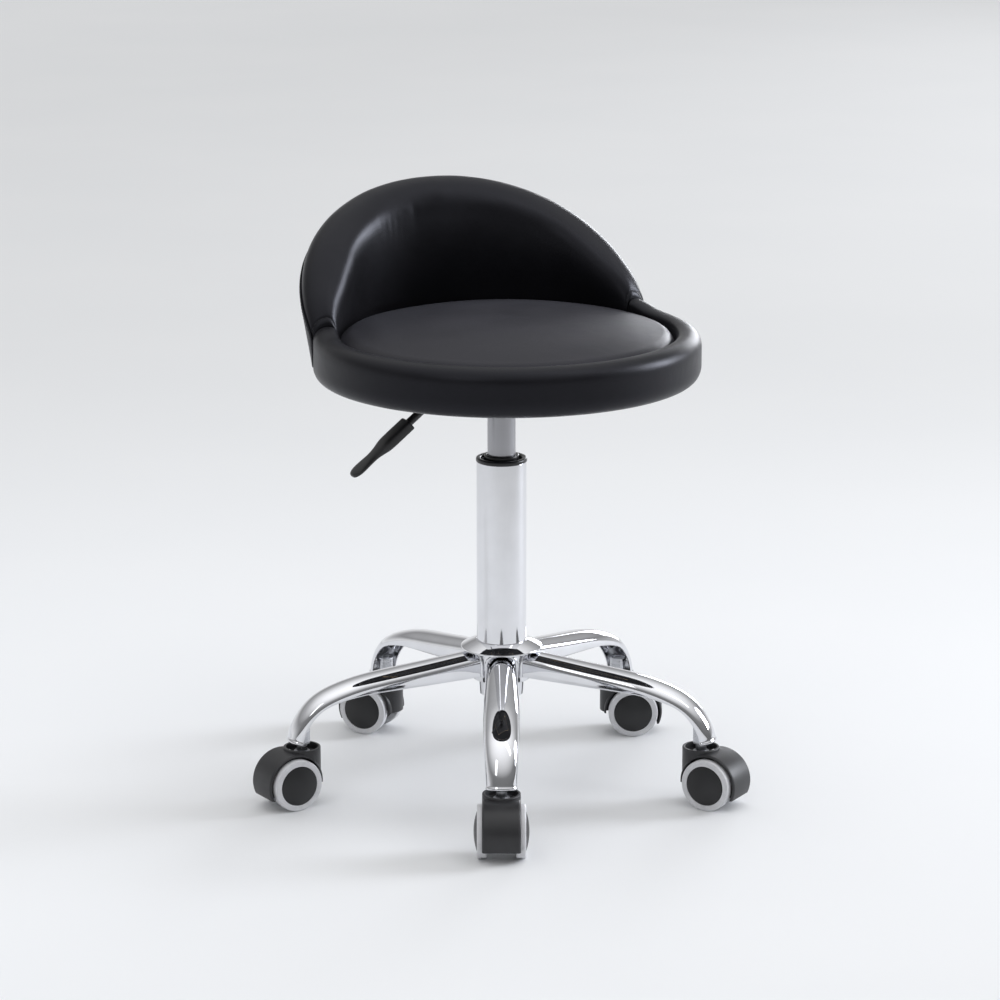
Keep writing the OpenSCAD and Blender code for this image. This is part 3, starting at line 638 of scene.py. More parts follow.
def leg_spine(s):
    """Place and slope along the top line of a leg, s millimetres from its root."""
    line, knee_r, tip_r = 107.2, 200.0, 64.0
    slope, knee, end = math.radians(7.3), math.radians(22), math.radians(82)
    arc = knee_r * (knee - slope)
    x, z = 28.7, 142.0
    if s <= line:
        return x + s * math.cos(slope), z - s * math.sin(slope), slope
    x += line * math.cos(slope)
    z -= line * math.sin(slope)
    if s <= line + arc:
        a = slope + (s - line) / knee_r
        return (x + knee_r * (math.sin(a) - math.sin(slope)),
                z - knee_r * (math.cos(slope) - math.cos(a)), a)
    x += knee_r * (math.sin(knee) - math.sin(slope))
    z -= knee_r * (math.cos(slope) - math.cos(knee))
    a = min(end, knee + (s - line - arc) / tip_r)
    return (x + tip_r * (math.sin(a) - math.sin(knee)),
            z - tip_r * (math.cos(knee) - math.cos(a)), a)


LEG_LENGTH = 107.2 + 200 * math.radians(22 - 7.3) + 64 * math.radians(82 - 22)


def leg_ring(s, inset=0.0):
    """Arched section across the leg, from one lower edge over the top to the other."""
    x, z, slope = leg_spine(s)
    half = 14.8 + 3.2 * math.sin(math.pi * s / LEG_LENGTH) - inset
    depth = max(12.5, 25.4 - 0.077 * s)
    arch = 10.0
    flat = [(half, depth), (half, (depth + arch) * 0.5)]
    flat += [(half * math.cos(math.pi * k / 8), arch * (1 - math.sin(math.pi * k / 8)) + inset)
             for k in range(9)]
    flat += [(-half, (depth + arch) * 0.5), (-half, depth)]
    ring = []
    for y, down in flat:
        px = math.sqrt(28.75 ** 2 - y * y) if s == 0 else x - down * math.sin(slope)
        ring.append(Vector((px, y, z - down * math.cos(slope))) * MM)
    return ring


def make_leg(i):
    """Pressed channel leg with a rolled lip at its open tip."""
    stations = [0, 3, 14, 34, 58, 82, 104, 122, 140, 156, 170, 182, 194, 206, 214, LEG_LENGTH - 5.2]
    rings = [leg_ring(s) for s in stations]
    rings += [leg_ring(LEG_LENGTH - back, inset) for back, inset in (
        (4.0, -0.1), (2.8, -0.7), (1.4, -0.9), (0.3, -0.4), (0.0, 0.4), (0.0, 1.8))]
    leg = skin(f"leg_{i}_shell", rings, closed_rings=False, caps=False)
    if sum(face.normal.z for face in leg.data.polygons) < 0:
        leg.data.flip_normals()
    wall = leg.modifiers.new("Wall", "SOLIDIFY")
    wall.thickness = 1.8 * MM
    wall.offset = -1
    wall.edge_crease_rim = 0.5
    apply_stack(leg)
    place(leg, leg_turn(i))
    shade(leg, 80)
    subdivide(leg, 2)
    return leg


def curve_piece(name, paths, radius, cyclic=False, resolution=4):
    """Round bar or bead along one or more paths."""
    curve = bpy.data.curves.new(name, "CURVE")
    curve.dimensions = "3D"
    curve.bevel_depth = radius
    curve.bevel_resolution = resolution
    curve.use_fill_caps = True
    for path in paths:
        line = curve.splines.new("POLY")
        line.points.add(len(path) - 1)
        for point, at in zip(line.points, path):
            point.co = (*at, 1.0)
        line.use_cyclic_u = cyclic
        line.use_smooth = True
    piece = bpy.data.objects.new(name, curve)
    bpy.context.scene.collection.objects.link(piece)
    return piece


def joined(name, pieces):
    """One piece from several."""
    whole = bmesh.new()
    for piece in pieces:
        apply_stack(piece)
        whole.from_mesh(piece.data)
    mesh = bpy.data.meshes.new(name)
    whole.to_mesh(mesh)
    whole.free()
    drop(*pieces)
    piece = bpy.data.objects.new(name, mesh)
    bpy.context.scene.collection.objects.link(piece)
    return piece


def slab(name, low, high, width=0.4):
    """Flat bar or plate between two corners, in millimetres, with broken edges."""
    x0, y0, z0 = low
    x1, y1, z1 = high
    outline = [(x0, y0), (x1, y0), (x1, y1), (x0, y1)]
    return prism(name, outline, z0, z1, width)


def prism(name, outline, z0, z1, width=0.4):
    """Plate with any outline, in millimetres, with broken edges."""
    rings = [[(x * MM, y * MM, z * MM) for x, y in outline] for z in (z0, z1)]
    piece = skin(name, rings)
    face_outwards(piece)
    bevel(piece, width * MM, 2)
    apply_stack(piece)
    return shade(piece, 35)


def column_outer(z):
    """Outside radius of the outer tube, which tapers below the hub."""
    return TUBE_R - max(0.0, TAPER_TOP - z) * TAPER


def scaled(points):
    return [(r * MM, z * MM) for r, z in points]


class STOOL_OT_hub(bpy.types.Operator):
    """Hub, its domed collar and the weld beads at the leg roots"""
    bl_idname = "stool.hub"
    bl_label = "Hub"

    def execute(self, context):
        low, top = HUB_LOW.z / MM, DOME_LOW.z / MM
        hub = turned("hub_shell", scaled(rounded([
            (HUB_R, top), (HUB_R, low, 1.2),
            (column_outer(low) + 0.05, low, 0.4), (column_outer(top) + 0.05, top)], 0.2)), 128)
        dome_r, rise, inner, outer = 82.0, 12.4, 25.1, 40.9
        arc = [inner + (outer - inner) * k / 14 for k in range(15)]
        dome = [(r, top + rise - dome_r + math.sqrt(dome_r ** 2 - r * r)) for r in arc]
        lip = dome[-1][1]
        edge = rounded([dome[-2], (outer, lip, 0.9), (outer, top, 0.3), (38, top)], 0.9)[5:-5]
        dome = dome[:-1] + edge + [(inner, top)]
        collar = turned("hub_dome", scaled(dome), 128)
        for piece, node in ((hub, "hub_tube"), (collar, "hub_collar")):
            finish_piece(piece, "base", MATERIALS["chrome"], [node])
        beads = []
        for i in LEGS:
            turn = leg_turn(i)
            root = [turn @ p for p in leg_ring(0)]
            beads.append([p + (p.xy.normalized() * 0.7 * MM).to_3d() for p in root])
        weld = curve_piece("leg_welds", beads, 1.5 * MM)
        finish_piece(weld, "base", MATERIALS["chrome"])
        return {"FINISHED"}


class STOOL_OT_legs(bpy.types.Operator):
    """Five pressed legs"""
    bl_idname = "stool.legs"
    bl_label = "Legs"

    def execute(self, context):
        for i in LEGS:
            finish_piece(make_leg(i), "base", MATERIALS["chrome"], [f"leg_{i}"])
        return {"FINISHED"}


class STOOL_OT_sockets(bpy.types.Operator):
    """Bright socket tubes with their cross plates, and the caster stems"""
    bl_idname = "stool.sockets"
    bl_label = "Sockets and Stems"

    def execute(self, context):
        tubes, stems = [], []
        for i in LEGS:
            at = leg_turn(i) @ Matrix.Translation((sizes().stem_circle, 0, 0))
            tube = turned("tube", scaled(rounded(
                [(8.2, 81), (8.2, 62), (5.7, 62), (5.7, 81)], 0.6)), 48)
            cross = slab("cross", (3, -13, 66), (5.5, 13, 77))
            stem = turned("stem", scaled(rounded([
                (0, 81, 0), (3.9, 81), (5.4, 79.5), (5.4, 76), (4.6, 76), (4.6, 74), (5.4, 74),
                (5.4, 54.5, 0.5), (8, 54.5), (8, 52.5), (4.5, 52.5), (4.5, 34), (0, 34, 0)], 0.3)),
                48, closed=False)
            for part in (tube, cross, stem):
                apply_stack(part)
                place(part, at)
            tubes += [tube, cross]
            stems.append(stem)
        for name, parts, node in (("socket_tubes", tubes, "caster_sockets"),
                                  ("stem_pins", stems, "caster_stems")):
            whole = shade(joined(name, parts), 35)
            finish_piece(whole, "base", MATERIALS["bright"], [node])
        return {"FINISHED"}


class STOOL_OT_column(bpy.types.Operator):
    """Chromed outer tube, the guide bush in its mouth and the gas cylinder"""
    bl_idname = "stool.column"
    bl_label = "Column and Cylinder"

    def execute(self, context):
        foot, top = TUBE_LOW.z / MM, TUBE_HIGH.z / MM
        floor_low, floor_top = foot + 4, foot + 7
        mouth = top + 5.5
        tube = turned("column_shell", scaled(rounded([
            (TUBE_R, mouth), (TUBE_R, TAPER_TOP, 0.0), (column_outer(foot), foot),
            (column_outer(foot) - TUBE_WALL, foot), (column_outer(floor_low) - TUBE_WALL, floor_low),
            (BORE_R, floor_low), (BORE_R, floor_top), (column_outer(floor_top) - TUBE_WALL, floor_top),
            (TUBE_R - TUBE_WALL, TAPER_TOP, 0.0), (TUBE_R - TUBE_WALL, mouth)], 0.5)), 160)
        finish_piece(tube, "base", MATERIALS["chrome"], ["column_tube"])
        bush_low, lip = BUSH_LOW.z / MM, top + 9.5
        bush = turned("bush_moulding", scaled(rounded([
            (25.5, lip, 2.0), (25.5, mouth), (23.45, mouth), (23.45, bush_low), (14.3, bush_low),
            (14.3, lip + 3, 1.2), (17.5, lip + 3, 1.5), (17.5, top + 5), (20.5, top + 5),
            (20.5, lip, 1.8)], 0.5)), 128)
        finish_piece(bush, "base", MATERIALS["black_plastic"], ["guide_bush"])
        low, high = LIFT_LOW.z / MM, LIFT_HIGH.z / MM
        cylinder = turned("lift_cylinder", scaled(rounded([
            (13.4, high, 0.8), (14, high - 16, 0.0), (14, low, 1.2), (BORE_R, low), (BORE_R, low + 8),
            (12.5, low + 8), (12.5, high - 6), (2.58, high - 6), (2.58, high)], 0.3)), 128)
        finish_piece(cylinder, "seat", MATERIALS["cylinder"], ["gas_cylinder"])
        return {"FINISHED"}


# ---------------------------------------------------------------- casters


def moved(piece, offset=(0, 0, 0), turn=0.0, axis="X"):
    """Applies the stack, then turns and moves the mesh, in millimetres."""
    apply_stack(piece)
    shift = Vector(offset) * MM
    return place(piece, Matrix.Translation(shift) @ Matrix.Rotation(math.radians(turn), 4, axis))


def make_hood():
    """Hood over the two wheels, with its neck and cup, in the caster's own frame."""
    drum_r, space_r, neck_top, neck_low = 30.5, 28.3, 58.6, 24
    drum = moved(turned("hood", scaled(rounded(
        [(0, HOOD_HALF, 0), (drum_r, HOOD_HALF, 3), (drum_r, -HOOD_HALF, 3), (0, -HOOD_HALF, 0)],
        3, 6)), 128, closed=False), (TRAIL, 0, AXLE_Z), 90)
    neck = moved(turned("neck", scaled(rounded(
        [(0, neck_top, 0), (HOOD_HALF, neck_top, 1.0), (HOOD_HALF, neck_low, 0.0), (0, neck_low, 0)],
        1)), 96, closed=False))
    boolean(drum, neck, "UNION")
    for side in (-1, 1):
        space = moved(turned("space", scaled(rounded(
            [(0, 15, 0), (space_r, 15), (space_r, -15), (0, -15, 0)], 1.5)), 128, closed=False),
            (TRAIL, side * 23, AXLE_Z), 90)
        boolean(drum, space, "DIFFERENCE")
    for low, high in (((-60, -60, -60), (90, 60, 13)), ((-60, -60, -60), (0, 60, 24))):
        boolean(drum, slab("cut", low, high), "DIFFERENCE")
    for profile in ([(0, 80, 0), (16.05, 80), (16.05, 52), (0, 52, 0)],
                    [(0, 80, 0), (4.58, 80), (4.58, 33.5), (0, 33.5, 0)]):
        cup = moved(turned("bore", scaled(rounded(profile, 0.8)), 64, closed=False))
        boolean(drum, cup, "DIFFERENCE")
    bore = moved(turned("bore", scaled([(0, 25), (3.05, 25), (3.05, -25), (0, -25)]), 48, closed=False),
                 (TRAIL, 0, AXLE_Z), 90)
    boolean(drum, bore, "DIFFERENCE")
    merged = bmesh.new()
    merged.from_mesh(drum.data)
    bmesh.ops.remove_doubles(merged, verts=merged.verts, dist=0.00002)
    bmesh.ops.dissolve_degenerate(merged, edges=merged.edges, dist=0.00002)
    bmesh.ops.recalc_face_normals(merged, faces=merged.faces)
    merged.to_mesh(drum.data)
    merged.free()
    bevel(drum, 0.45 * MM, 2, 38)
    apply_stack(drum)
    return shade(drum, 38)


def make_wheel():
    """Plastic wheel with a low domed cap, in the axle's own frame."""
    dome_r = (19.5 ** 2 + 3.25 ** 2) / (2 * 3.25)
    crown = [(19.3 * k / 12, 26.75 - dome_r + math.sqrt(dome_r ** 2 - (19.3 * k / 12) ** 2))
             for k in range(13)]
    edge = [(19.45, 23.3), (19.6, 23.1), (19.95, 23.2), (19.98, 22.9)]
    inner = rounded([(19.98, 22.9, 0), (19.98, 11), (17.5, 11), (17.5, 17), (7, 17), (7, 8.6),
                     (3.08, 8.6), (3.08, 21.9), (0, 21.9, 0)], 0.5)
    wheel = turned("wheel", scaled(crown + edge + inner[1:]), 96, closed=False)
    apply_stack(wheel)
    return shade(wheel, 35)


def make_tyre():
    """White tread ring, in the axle's own frame."""
    tyre = turned("tyre", scaled(rounded(
        [(26, 23.5, 1.8), (26, 14, 1.8), (20.02, 14, 0.4), (20.02, 23.5, 0.6)], 1.6, 5)), 128)
    apply_stack(tyre)
    return shade(tyre, 50)


class STOOL_OT_casters(bpy.types.Operator):
    """Five twin-wheel casters: hoods, wheels and treads"""
    bl_idname = "stool.casters"
    bl_label = "Casters"

    def execute(self, context):
        hood, wheel, tyre = make_hood(), make_wheel(), make_tyre()
        for i in LEGS:
            shell = copy_at(hood, f"caster_{i}_shell", caster_place(i))
            finish_piece(shell, f"caster_{i}", MATERIALS["hood"], [f"caster_{i}_hood"])
            for side in SIDES:
                body = f"caster_{i}_{side}_roller"
                at = axle_place(i, side)
                disc = copy_at(wheel, f"caster_{i}_{side}_disc", at)
                finish_piece(disc, body, MATERIALS["wheel"],
                             [f"caster_{i}_{side}_wheel"])
                tread = copy_at(tyre, f"caster_{i}_{side}_tread", at)
                finish_piece(tread, body, MATERIALS["tread"],
                             [f"caster_{i}_{side}_tyre"])
        drop(hood, wheel, tyre)
        return {"FINISHED"}


# ---------------------------------------------------------------- seat hardware


class STOOL_OT_plate(bpy.types.Operator):
    """Pressed mounting plate with the socket for the cylinder and two ears for the lever"""
    bl_idname = "stool.plate"
    bl_label = "Mounting Plate"

    def execute(self, context):
        corner = [(90 - 14 + 14 * math.cos(a), 75 - 14 + 14 * math.sin(a))
                  for a in (math.radians(90 * k / 8) for k in range(9))]
        outline = corner + [(-x, y) for x, y in reversed(corner)]
        outline += [(-x, -y) for x, y in corner] + [(x, -y) for x, y in reversed(corner)]
        sheet = prism("sheet", outline, 427, 430, 0.8)
        hub = turned("hub", scaled(rounded([
            (17, 428.5), (30, 428.5, 0.4), (21, 419, 7), (21, 386, 0.8), (14.08, 386, 0.5),
            (13.45, 402), (15, 402.5), (15, 427)], 0.5)), 96)
        slot = slab("slot", (-34, -4.7, 402.5), (-8, 4.7, 426))
        boolean(hub, slot, "DIFFERENCE")
        parts = [sheet, hub]
        for side in (-1, 1):
            profile = [(-19, 428.5), (-35, 428.5)]
            profile += [(-26 - 6 * math.cos(a), LEVER_Z - 6 * math.sin(a))
                        for a in (math.radians(180 * k / 10) for k in range(11))]
            y0, y1 = sorted((side * 5, side * 8))
            rings = [[(x * MM, y * MM, z * MM) for x, z in profile] for y in (y0, y1)]
            ear = face_outwards(skin("ear", rings))
            bevel(ear, 0.4 * MM, 2)
            parts.append(ear)
        plate = shade(joined("mounting_plate", parts), 35)
        finish_piece(plate, "seat", MATERIALS["black_steel"], ["seat_plate"])
        return {"FINISHED"}


def at_bend():
    """Frame at the bend of the lever: its X runs down and out along the handle."""
    return (Matrix.Translation((LEVER_BEND_X * MM, 0, LEVER_Z * MM)) @ Matrix.Rotation(math.pi, 4, "Z")
            @ Matrix.Rotation(LEVER_BEND, 4, "Y"))


class STOOL_OT_lever(bpy.types.Operator):
    """Bent lift lever with its sleeve and paddle"""
    bl_idname = "stool.lever"
    bl_label = "Lift Lever"

    def execute(self, context):
        reach = 9.0
        bend_r = reach / math.tan(LEVER_BEND / 2)
        path = [Vector((1.5, 0, LEVER_Z)), Vector((-30, 0, LEVER_Z))]
        for k in range(13):
            a = LEVER_BEND * k / 12
            path.append(Vector((LEVER_BEND_X + reach - bend_r * math.sin(a), 0,
                                LEVER_Z - bend_r * (1 - math.cos(a)))))
        path.append(at_bend() @ Vector((72 * MM, 0, 0)) / MM)
        bar = curve_piece("lever_bar", [[p * MM for p in path]], 4 * MM, resolution=6)
        finish_piece(bar, "lever", MATERIALS["black_steel"], ["lever_rod"])

        sections = [(44, 9.0, 4.5, 5), (44.6, 10, 5.5, 5), (47, 10, 5.5, 5), (58, 10, 5.5, 5),
                    (68, 10, 5.5, 5), (76, 10, 5.5, 4.5), (80, 9.7, 4.9, 4), (85, 8.9, 4.0, 3.4),
                    (91, 8.1, 3.3, 3), (97, 8.4, 3.0, 3), (104, 9.3, 3.0, 3), (111, 10, 3.0, 3),
                    (116, 9.3, 2.9, 2.8), (119.6, 6.8, 2.6, 2.6), (121.6, 3.4, 1.7, 2.4)]
        rings = []
        for x, wide, thick, square in sections:
            ring = []
            for k in range(20):
                a = 2 * math.pi * k / 20
                c, s = math.cos(a), math.sin(a)
                ring.append(Vector((x, wide * math.copysign(abs(c) ** (2 / square), c),
                                    thick * math.copysign(abs(s) ** (2 / square), s))) * MM)
            rings.append(ring)
        handle = face_outwards(skin("lever_paddle", rings))
        place(handle, at_bend())
        shade(handle, 70)
        subdivide(handle, 2)
        finish_piece(handle, "lever", MATERIALS["wheel"], ["lever_handle"])
        return {"FINISHED"}


class STOOL_OT_hardware(bpy.types.Operator):
    """Finishes for the parts that keep their own shape"""
    bl_idname = "stool.hardware"
    bl_label = "Hardware Finishes"

    def execute(self, context):
        kept = {
            "grip_rings": "spring", "retaining_clip": "spring", "thrust_bearing": "bright",
            "piston_rod": "bright", "rubber_bumper": "rubber", "lever_pin": "bright",
            "valve_pin": "bright", "tee_nuts": "bright", "plate_bolts": "black_steel",
            "seat_board": "board", "dust_cover": "dust",
        }
        for i in LEGS:
            kept[f"caster_{i}_axle"] = "bright"
        for name, look in kept.items():
            node = frame["nodes"][name]
            node.data.materials.clear()
            node.data.materials.append(MATERIALS[look])
        return {"FINISHED"}


# ---------------------------------------------------------------- covers


def held_points(piece, test):
    group = piece.vertex_groups.new(name="held")
    group.add([v.index for v in piece.data.vertices if test(v.co)], 1.0, "REPLACE")
    return group


def swell(piece, held, shrink, cap, pressure=4.0, stiffness=12.0, easing=14):
    """Inflates a closed cover with a short cloth simulation.

    The moves are eased between neighbours, as foam under a taut cover does, and capped in length.
    """
    points = piece.data.vertices
    start = [v.co.copy() for v in points]
    group = held_points(piece, held)
    pinned = {v.index for v in points if any(g.group == group.index for g in v.groups)}
    for v, normal in [(v, v.normal.copy()) for v in points]:
        if v.index not in pinned:
            v.co -= normal * shrink
    cloth = piece.modifiers.new("Cloth", "CLOTH")
    settings = cloth.settings
    settings.quality = 5
    settings.mass = 0.25
    settings.tension_stiffness = stiffness
    settings.compression_stiffness = stiffness
    settings.shear_stiffness = stiffness * 0.4
    settings.bending_stiffness = 8.0
    settings.use_pressure = True
    settings.uniform_pressure_force = pressure
    settings.effector_weights.gravity = 0
    settings.vertex_group_mass = "held"
    cloth.collision_settings.use_collision = False
    frames = sizes().cloth_frames
    cloth.point_cache.frame_start = 1
    cloth.point_cache.frame_end = frames
    for step in range(1, frames + 1):
        bpy.context.scene.frame_set(step)
    apply_stack(piece)
    bpy.context.scene.frame_set(1)
    points = piece.data.vertices
    moves = [v.co - at for v, at in zip(points, start)]
    around = [[] for _ in points]
    for edge in piece.data.edges:
        a, b = edge.vertices
        around[a].append(b)
        around[b].append(a)
    for _ in range(easing):
        means = [sum((moves[n] for n in beside), Vector()) / len(beside) for beside in around]
        moves = [move if k in pinned else (move + mean) / 2
                 for k, (move, mean) in enumerate(zip(moves, means))]
    for v, at, move in zip(points, start, moves):
        v.co = at + (move.normalized() * cap if move.length > cap else move)
    piece.vertex_groups.clear()
    piece.data.update()
    return piece


# The 'seam' attribute marks where the leather gets painted shade along its seams and joints.
def seam_attribute(piece, values):
    layer = piece.data.attributes.new("seam", "FLOAT", "POINT")
    for item, value in zip(layer.data, values):
        item.value = value


def stitches(name, paths, length=3.2, gap=1.3, radius=0.28):
    """Sewing thread: one slim capsule for each stitch along the given paths, in metres."""
    whole = bmesh.new()
    profile = [(-0.5, 0.35), (-0.4, 0.85), (0.0, 1.0), (0.4, 0.85), (0.5, 0.35)]
    for path in paths:
        run, step = 0.0, (length + gap) * MM
        marks = [0.0]
        for a, b in zip(path, path[1:]):
            marks.append(marks[-1] + (b - a).length)

        def at(distance):
            for k in range(len(path) - 1):
                if distance <= marks[k + 1]:
                    span = marks[k + 1] - marks[k]
                    return path[k].lerp(path[k + 1], (distance - marks[k]) / span if span else 0)
            return path[-1]

        while run + length * MM < marks[-1]:
            a, b = at(run), at(run + length * MM)
            axis = (b - a).normalized()
            side = axis.orthogonal().normalized()
            other = axis.cross(side)
            rings = []
            for t, size in profile:
                centre = a.lerp(b, t + 0.5)
                rings.append([whole.verts.new(
                    centre + (side * math.cos(q) + other * math.sin(q)) * radius * size * MM)
                    for q in (math.tau * k / 6 for k in range(6))])
            for low, high in zip(rings, rings[1:]):
                for k in range(6):
                    whole.faces.new((low[k], low[(k + 1) % 6], high[(k + 1) % 6], high[k]))
            whole.faces.new(reversed(rings[0]))
            whole.faces.new(rings[-1])
            run += step
    mesh = bpy.data.meshes.new(name)
    whole.to_mesh(mesh)
    whole.free()
    piece = bpy.data.objects.new(name, mesh)
    bpy.context.scene.collection.objects.link(piece)
    return shade(piece, 60)


def arc_points(cx, cz, r, a0, a1, n, first=0):
    return [(cx + r * math.cos(math.radians(a0 + (a1 - a0) * k / n)),
             cz + r * math.sin(math.radians(a0 + (a1 - a0) * k / n))) for k in range(first, n + 1)]


def line_points(a, b, n):
    """Points strictly between a and b."""
    return [(a[0] + (b[0] - a[0]) * k / (n + 1), a[1] + (b[1] - a[1]) * k / (n + 1))
            for k in range(1, n + 1)]


def back_rise(angle):
    return max(0.0, 1 - (angle / sizes().back_angle) ** 2) ** 0.76


def back_lean(angle):
    share = abs(angle) / sizes().back_angle
    return (sizes().back_lean + sizes().side_lean * share) * back_rise(angle) / MM


def overhang_at(h):
    """How far the roll hangs over the seat where the backrest has risen by the share h."""
    t = min(1.0, h / 0.65)
    return t * t * (3 - 2 * t) * (11 + 8 * (1 - h ** 3))


def seam_lift(angle):
    """Filling pushed up on both sides of an end seam, in millimetres."""
    return 7.0 * bell((sizes().back_angle - abs(math.remainder(angle, math.tau))) * SEAM_R, 24)


def back_top(angle):
    return RIM_TOP + BACK_RISE * back_rise(angle) + seam_lift(angle)


def back_section(angle):
    """Closed section of the backrest: foot, leaning outer side, thick roll, ridge and undercut side."""
    h = back_rise(angle)
    lean = back_lean(angle)
    ro, ri = EDGE_R + 9 * h, GROOVE_R + 4 * h
    top = back_top(angle)
    out = RIM_R - 2.3
    ox, oz = out + lean - ro, top - ro
    ix, iz = RIM_IN - overhang_at(h) + ri, top - 22 * h * h - ri
    gap = math.hypot(ox - ix, oz - iz)
    slope = math.degrees(math.atan2(oz - iz, ox - ix) + math.acos(max(-1.0, (ri - ro) / gap)))
    knee = (RIM_IN, min(PAD_CLEAR, iz - ri - 1))
    px, pz = RIM_IN - ix, knee[1] - iz
    turn = 360 + math.degrees(math.atan2(pz, px) - math.acos(ri / math.hypot(px, pz)))
    roll = arc_points(ox, oz, ro, 0, slope, 9)
    ridge = arc_points(ix, iz, ri, slope, turn, 7)
    foot_in, foot_out = (RIM_IN, RIM_Z + GROOVE_R), (out, RIM_Z + EDGE_R)
    section = arc_points(RIM_IN + GROOVE_R, RIM_Z + GROOVE_R, GROOVE_R, 180, 270, 4)
    section += arc_points(out - EDGE_R, RIM_Z + EDGE_R, EDGE_R, 270, 360, 5)
    section += line_points(foot_out, roll[0], 12)
    section += roll + line_points(roll[-1], ridge[0], 6) + ridge
    section += line_points(ridge[-1], knee, 8) + [knee] + line_points(knee, foot_in, 5)
    for _ in range(80):
        section = [tuple(a + (b - 2 * a + c) * 0.25 * bell(k - 44, 7)
                         for a, b, c in zip(here, section[k - 1], section[(k + 1) % len(section)]))
                   for k, here in enumerate(section)]
    return section


def rim_section(lift):
    """Closed section of the rim, its top lifted near the end seams."""
    high = RIM_TOP + lift
    section = arc_points(RIM_IN + GROOVE_R, RIM_Z + GROOVE_R, GROOVE_R, 180, 270, 4)
    section += arc_points(RIM_R - EDGE_R, RIM_Z + EDGE_R, EDGE_R, 270, 360, 6)
    section += line_points((RIM_R, RIM_Z + EDGE_R), (RIM_R, high - EDGE_R), 4)
    section += arc_points(RIM_R - EDGE_R, high - EDGE_R, EDGE_R, 0, 90, 8)
    section += line_points((RIM_R - EDGE_R, high), (RIM_IN + GROOVE_R, high), 1)
    section += arc_points(RIM_IN + GROOVE_R, high - GROOVE_R, GROOVE_R, 90, 180, 5)
    section += line_points((RIM_IN, high - GROOVE_R), (RIM_IN, RIM_Z + GROOVE_R), 5)
    return section


def stand_up(section, angle):
    """Section points stood up at an angle round the seat's centre, 0 at the back."""
    centre = sizes().seat_centre
    return [Vector((r * MM * math.sin(angle), r * MM * math.cos(angle) + centre, z * MM))
            for r, z in section]


def spread_angles(start, end, near, spacing):
    """Angles from start to end, with extra ones at the given distances from both ends, in millimetres."""
    span = (end - start) * SEAM_R
    marks = list(near)
    count = max(2, round((span - 2 * near[-1]) / spacing))
    marks += [near[-1] + (span - 2 * near[-1]) * k / count for k in range(1, count)]
    marks += [span - d for d in reversed(near)]
    return [start + d / SEAM_R for d in marks]


def bell(distance, width):
    return math.exp(-(distance / width) ** 2)


def press_in(piece, depths):
    """Moves each point inwards along its normal by its own depth, in millimetres."""
    normals = [v.normal.copy() for v in piece.data.vertices]
    for v, normal, depth in zip(piece.data.vertices, normals, depths):
        v.co -= normal * depth * MM
    piece.data.update()


NEAR_SEAM = (0.0, 0.5, 1.1, 1.9, 2.7, 3.4, 4.1, 5.0, 6.5, 9.0, 12.5)


class STOOL_OT_rim(bpy.types.Operator):
    """Padded rim round the front and sides of the seat"""
    bl_idname = "stool.rim"
    bl_label = "Rim"

    def execute(self, context):
        half = sizes().back_angle + math.radians(0.1)
        angles = spread_angles(half, math.tau - half, NEAR_SEAM, 4.6)
        rim = face_outwards(skin("rim_cover", [stand_up(rim_section(seam_lift(a)), a) for a in angles]))
        centre = sizes().seat_centre
        swell(rim, lambda p: (p.z < (RIM_Z + 5) * MM
                              or (p.xy - Vector((0, centre))).length < (RIM_IN + 0.6) * MM
                              or abs(abs(math.atan2(p.x, p.y - centre)) - half) < 0.004),
              0.8 * MM, 2.0 * MM)
        depths, seams = [], []
        n = len(rim_section(0))
        for index in range(len(rim.data.vertices)):
            angle = angles[index // n]
            gap = min(angle - half, math.tau - half - angle) * SEAM_R
            depths.append(0.9 * bell(gap, 0.7) + 0.25 * bell(gap, 7))
            seams.append(bell(gap, 1.4))
        press_in(rim, depths)
        seam_attribute(rim, seams)
        shade(rim, 60)
        subdivide(rim, 1)
        finish_piece(rim, "seat", MATERIALS["leather"], ["rim_bolster"])
        return {"FINISHED"}


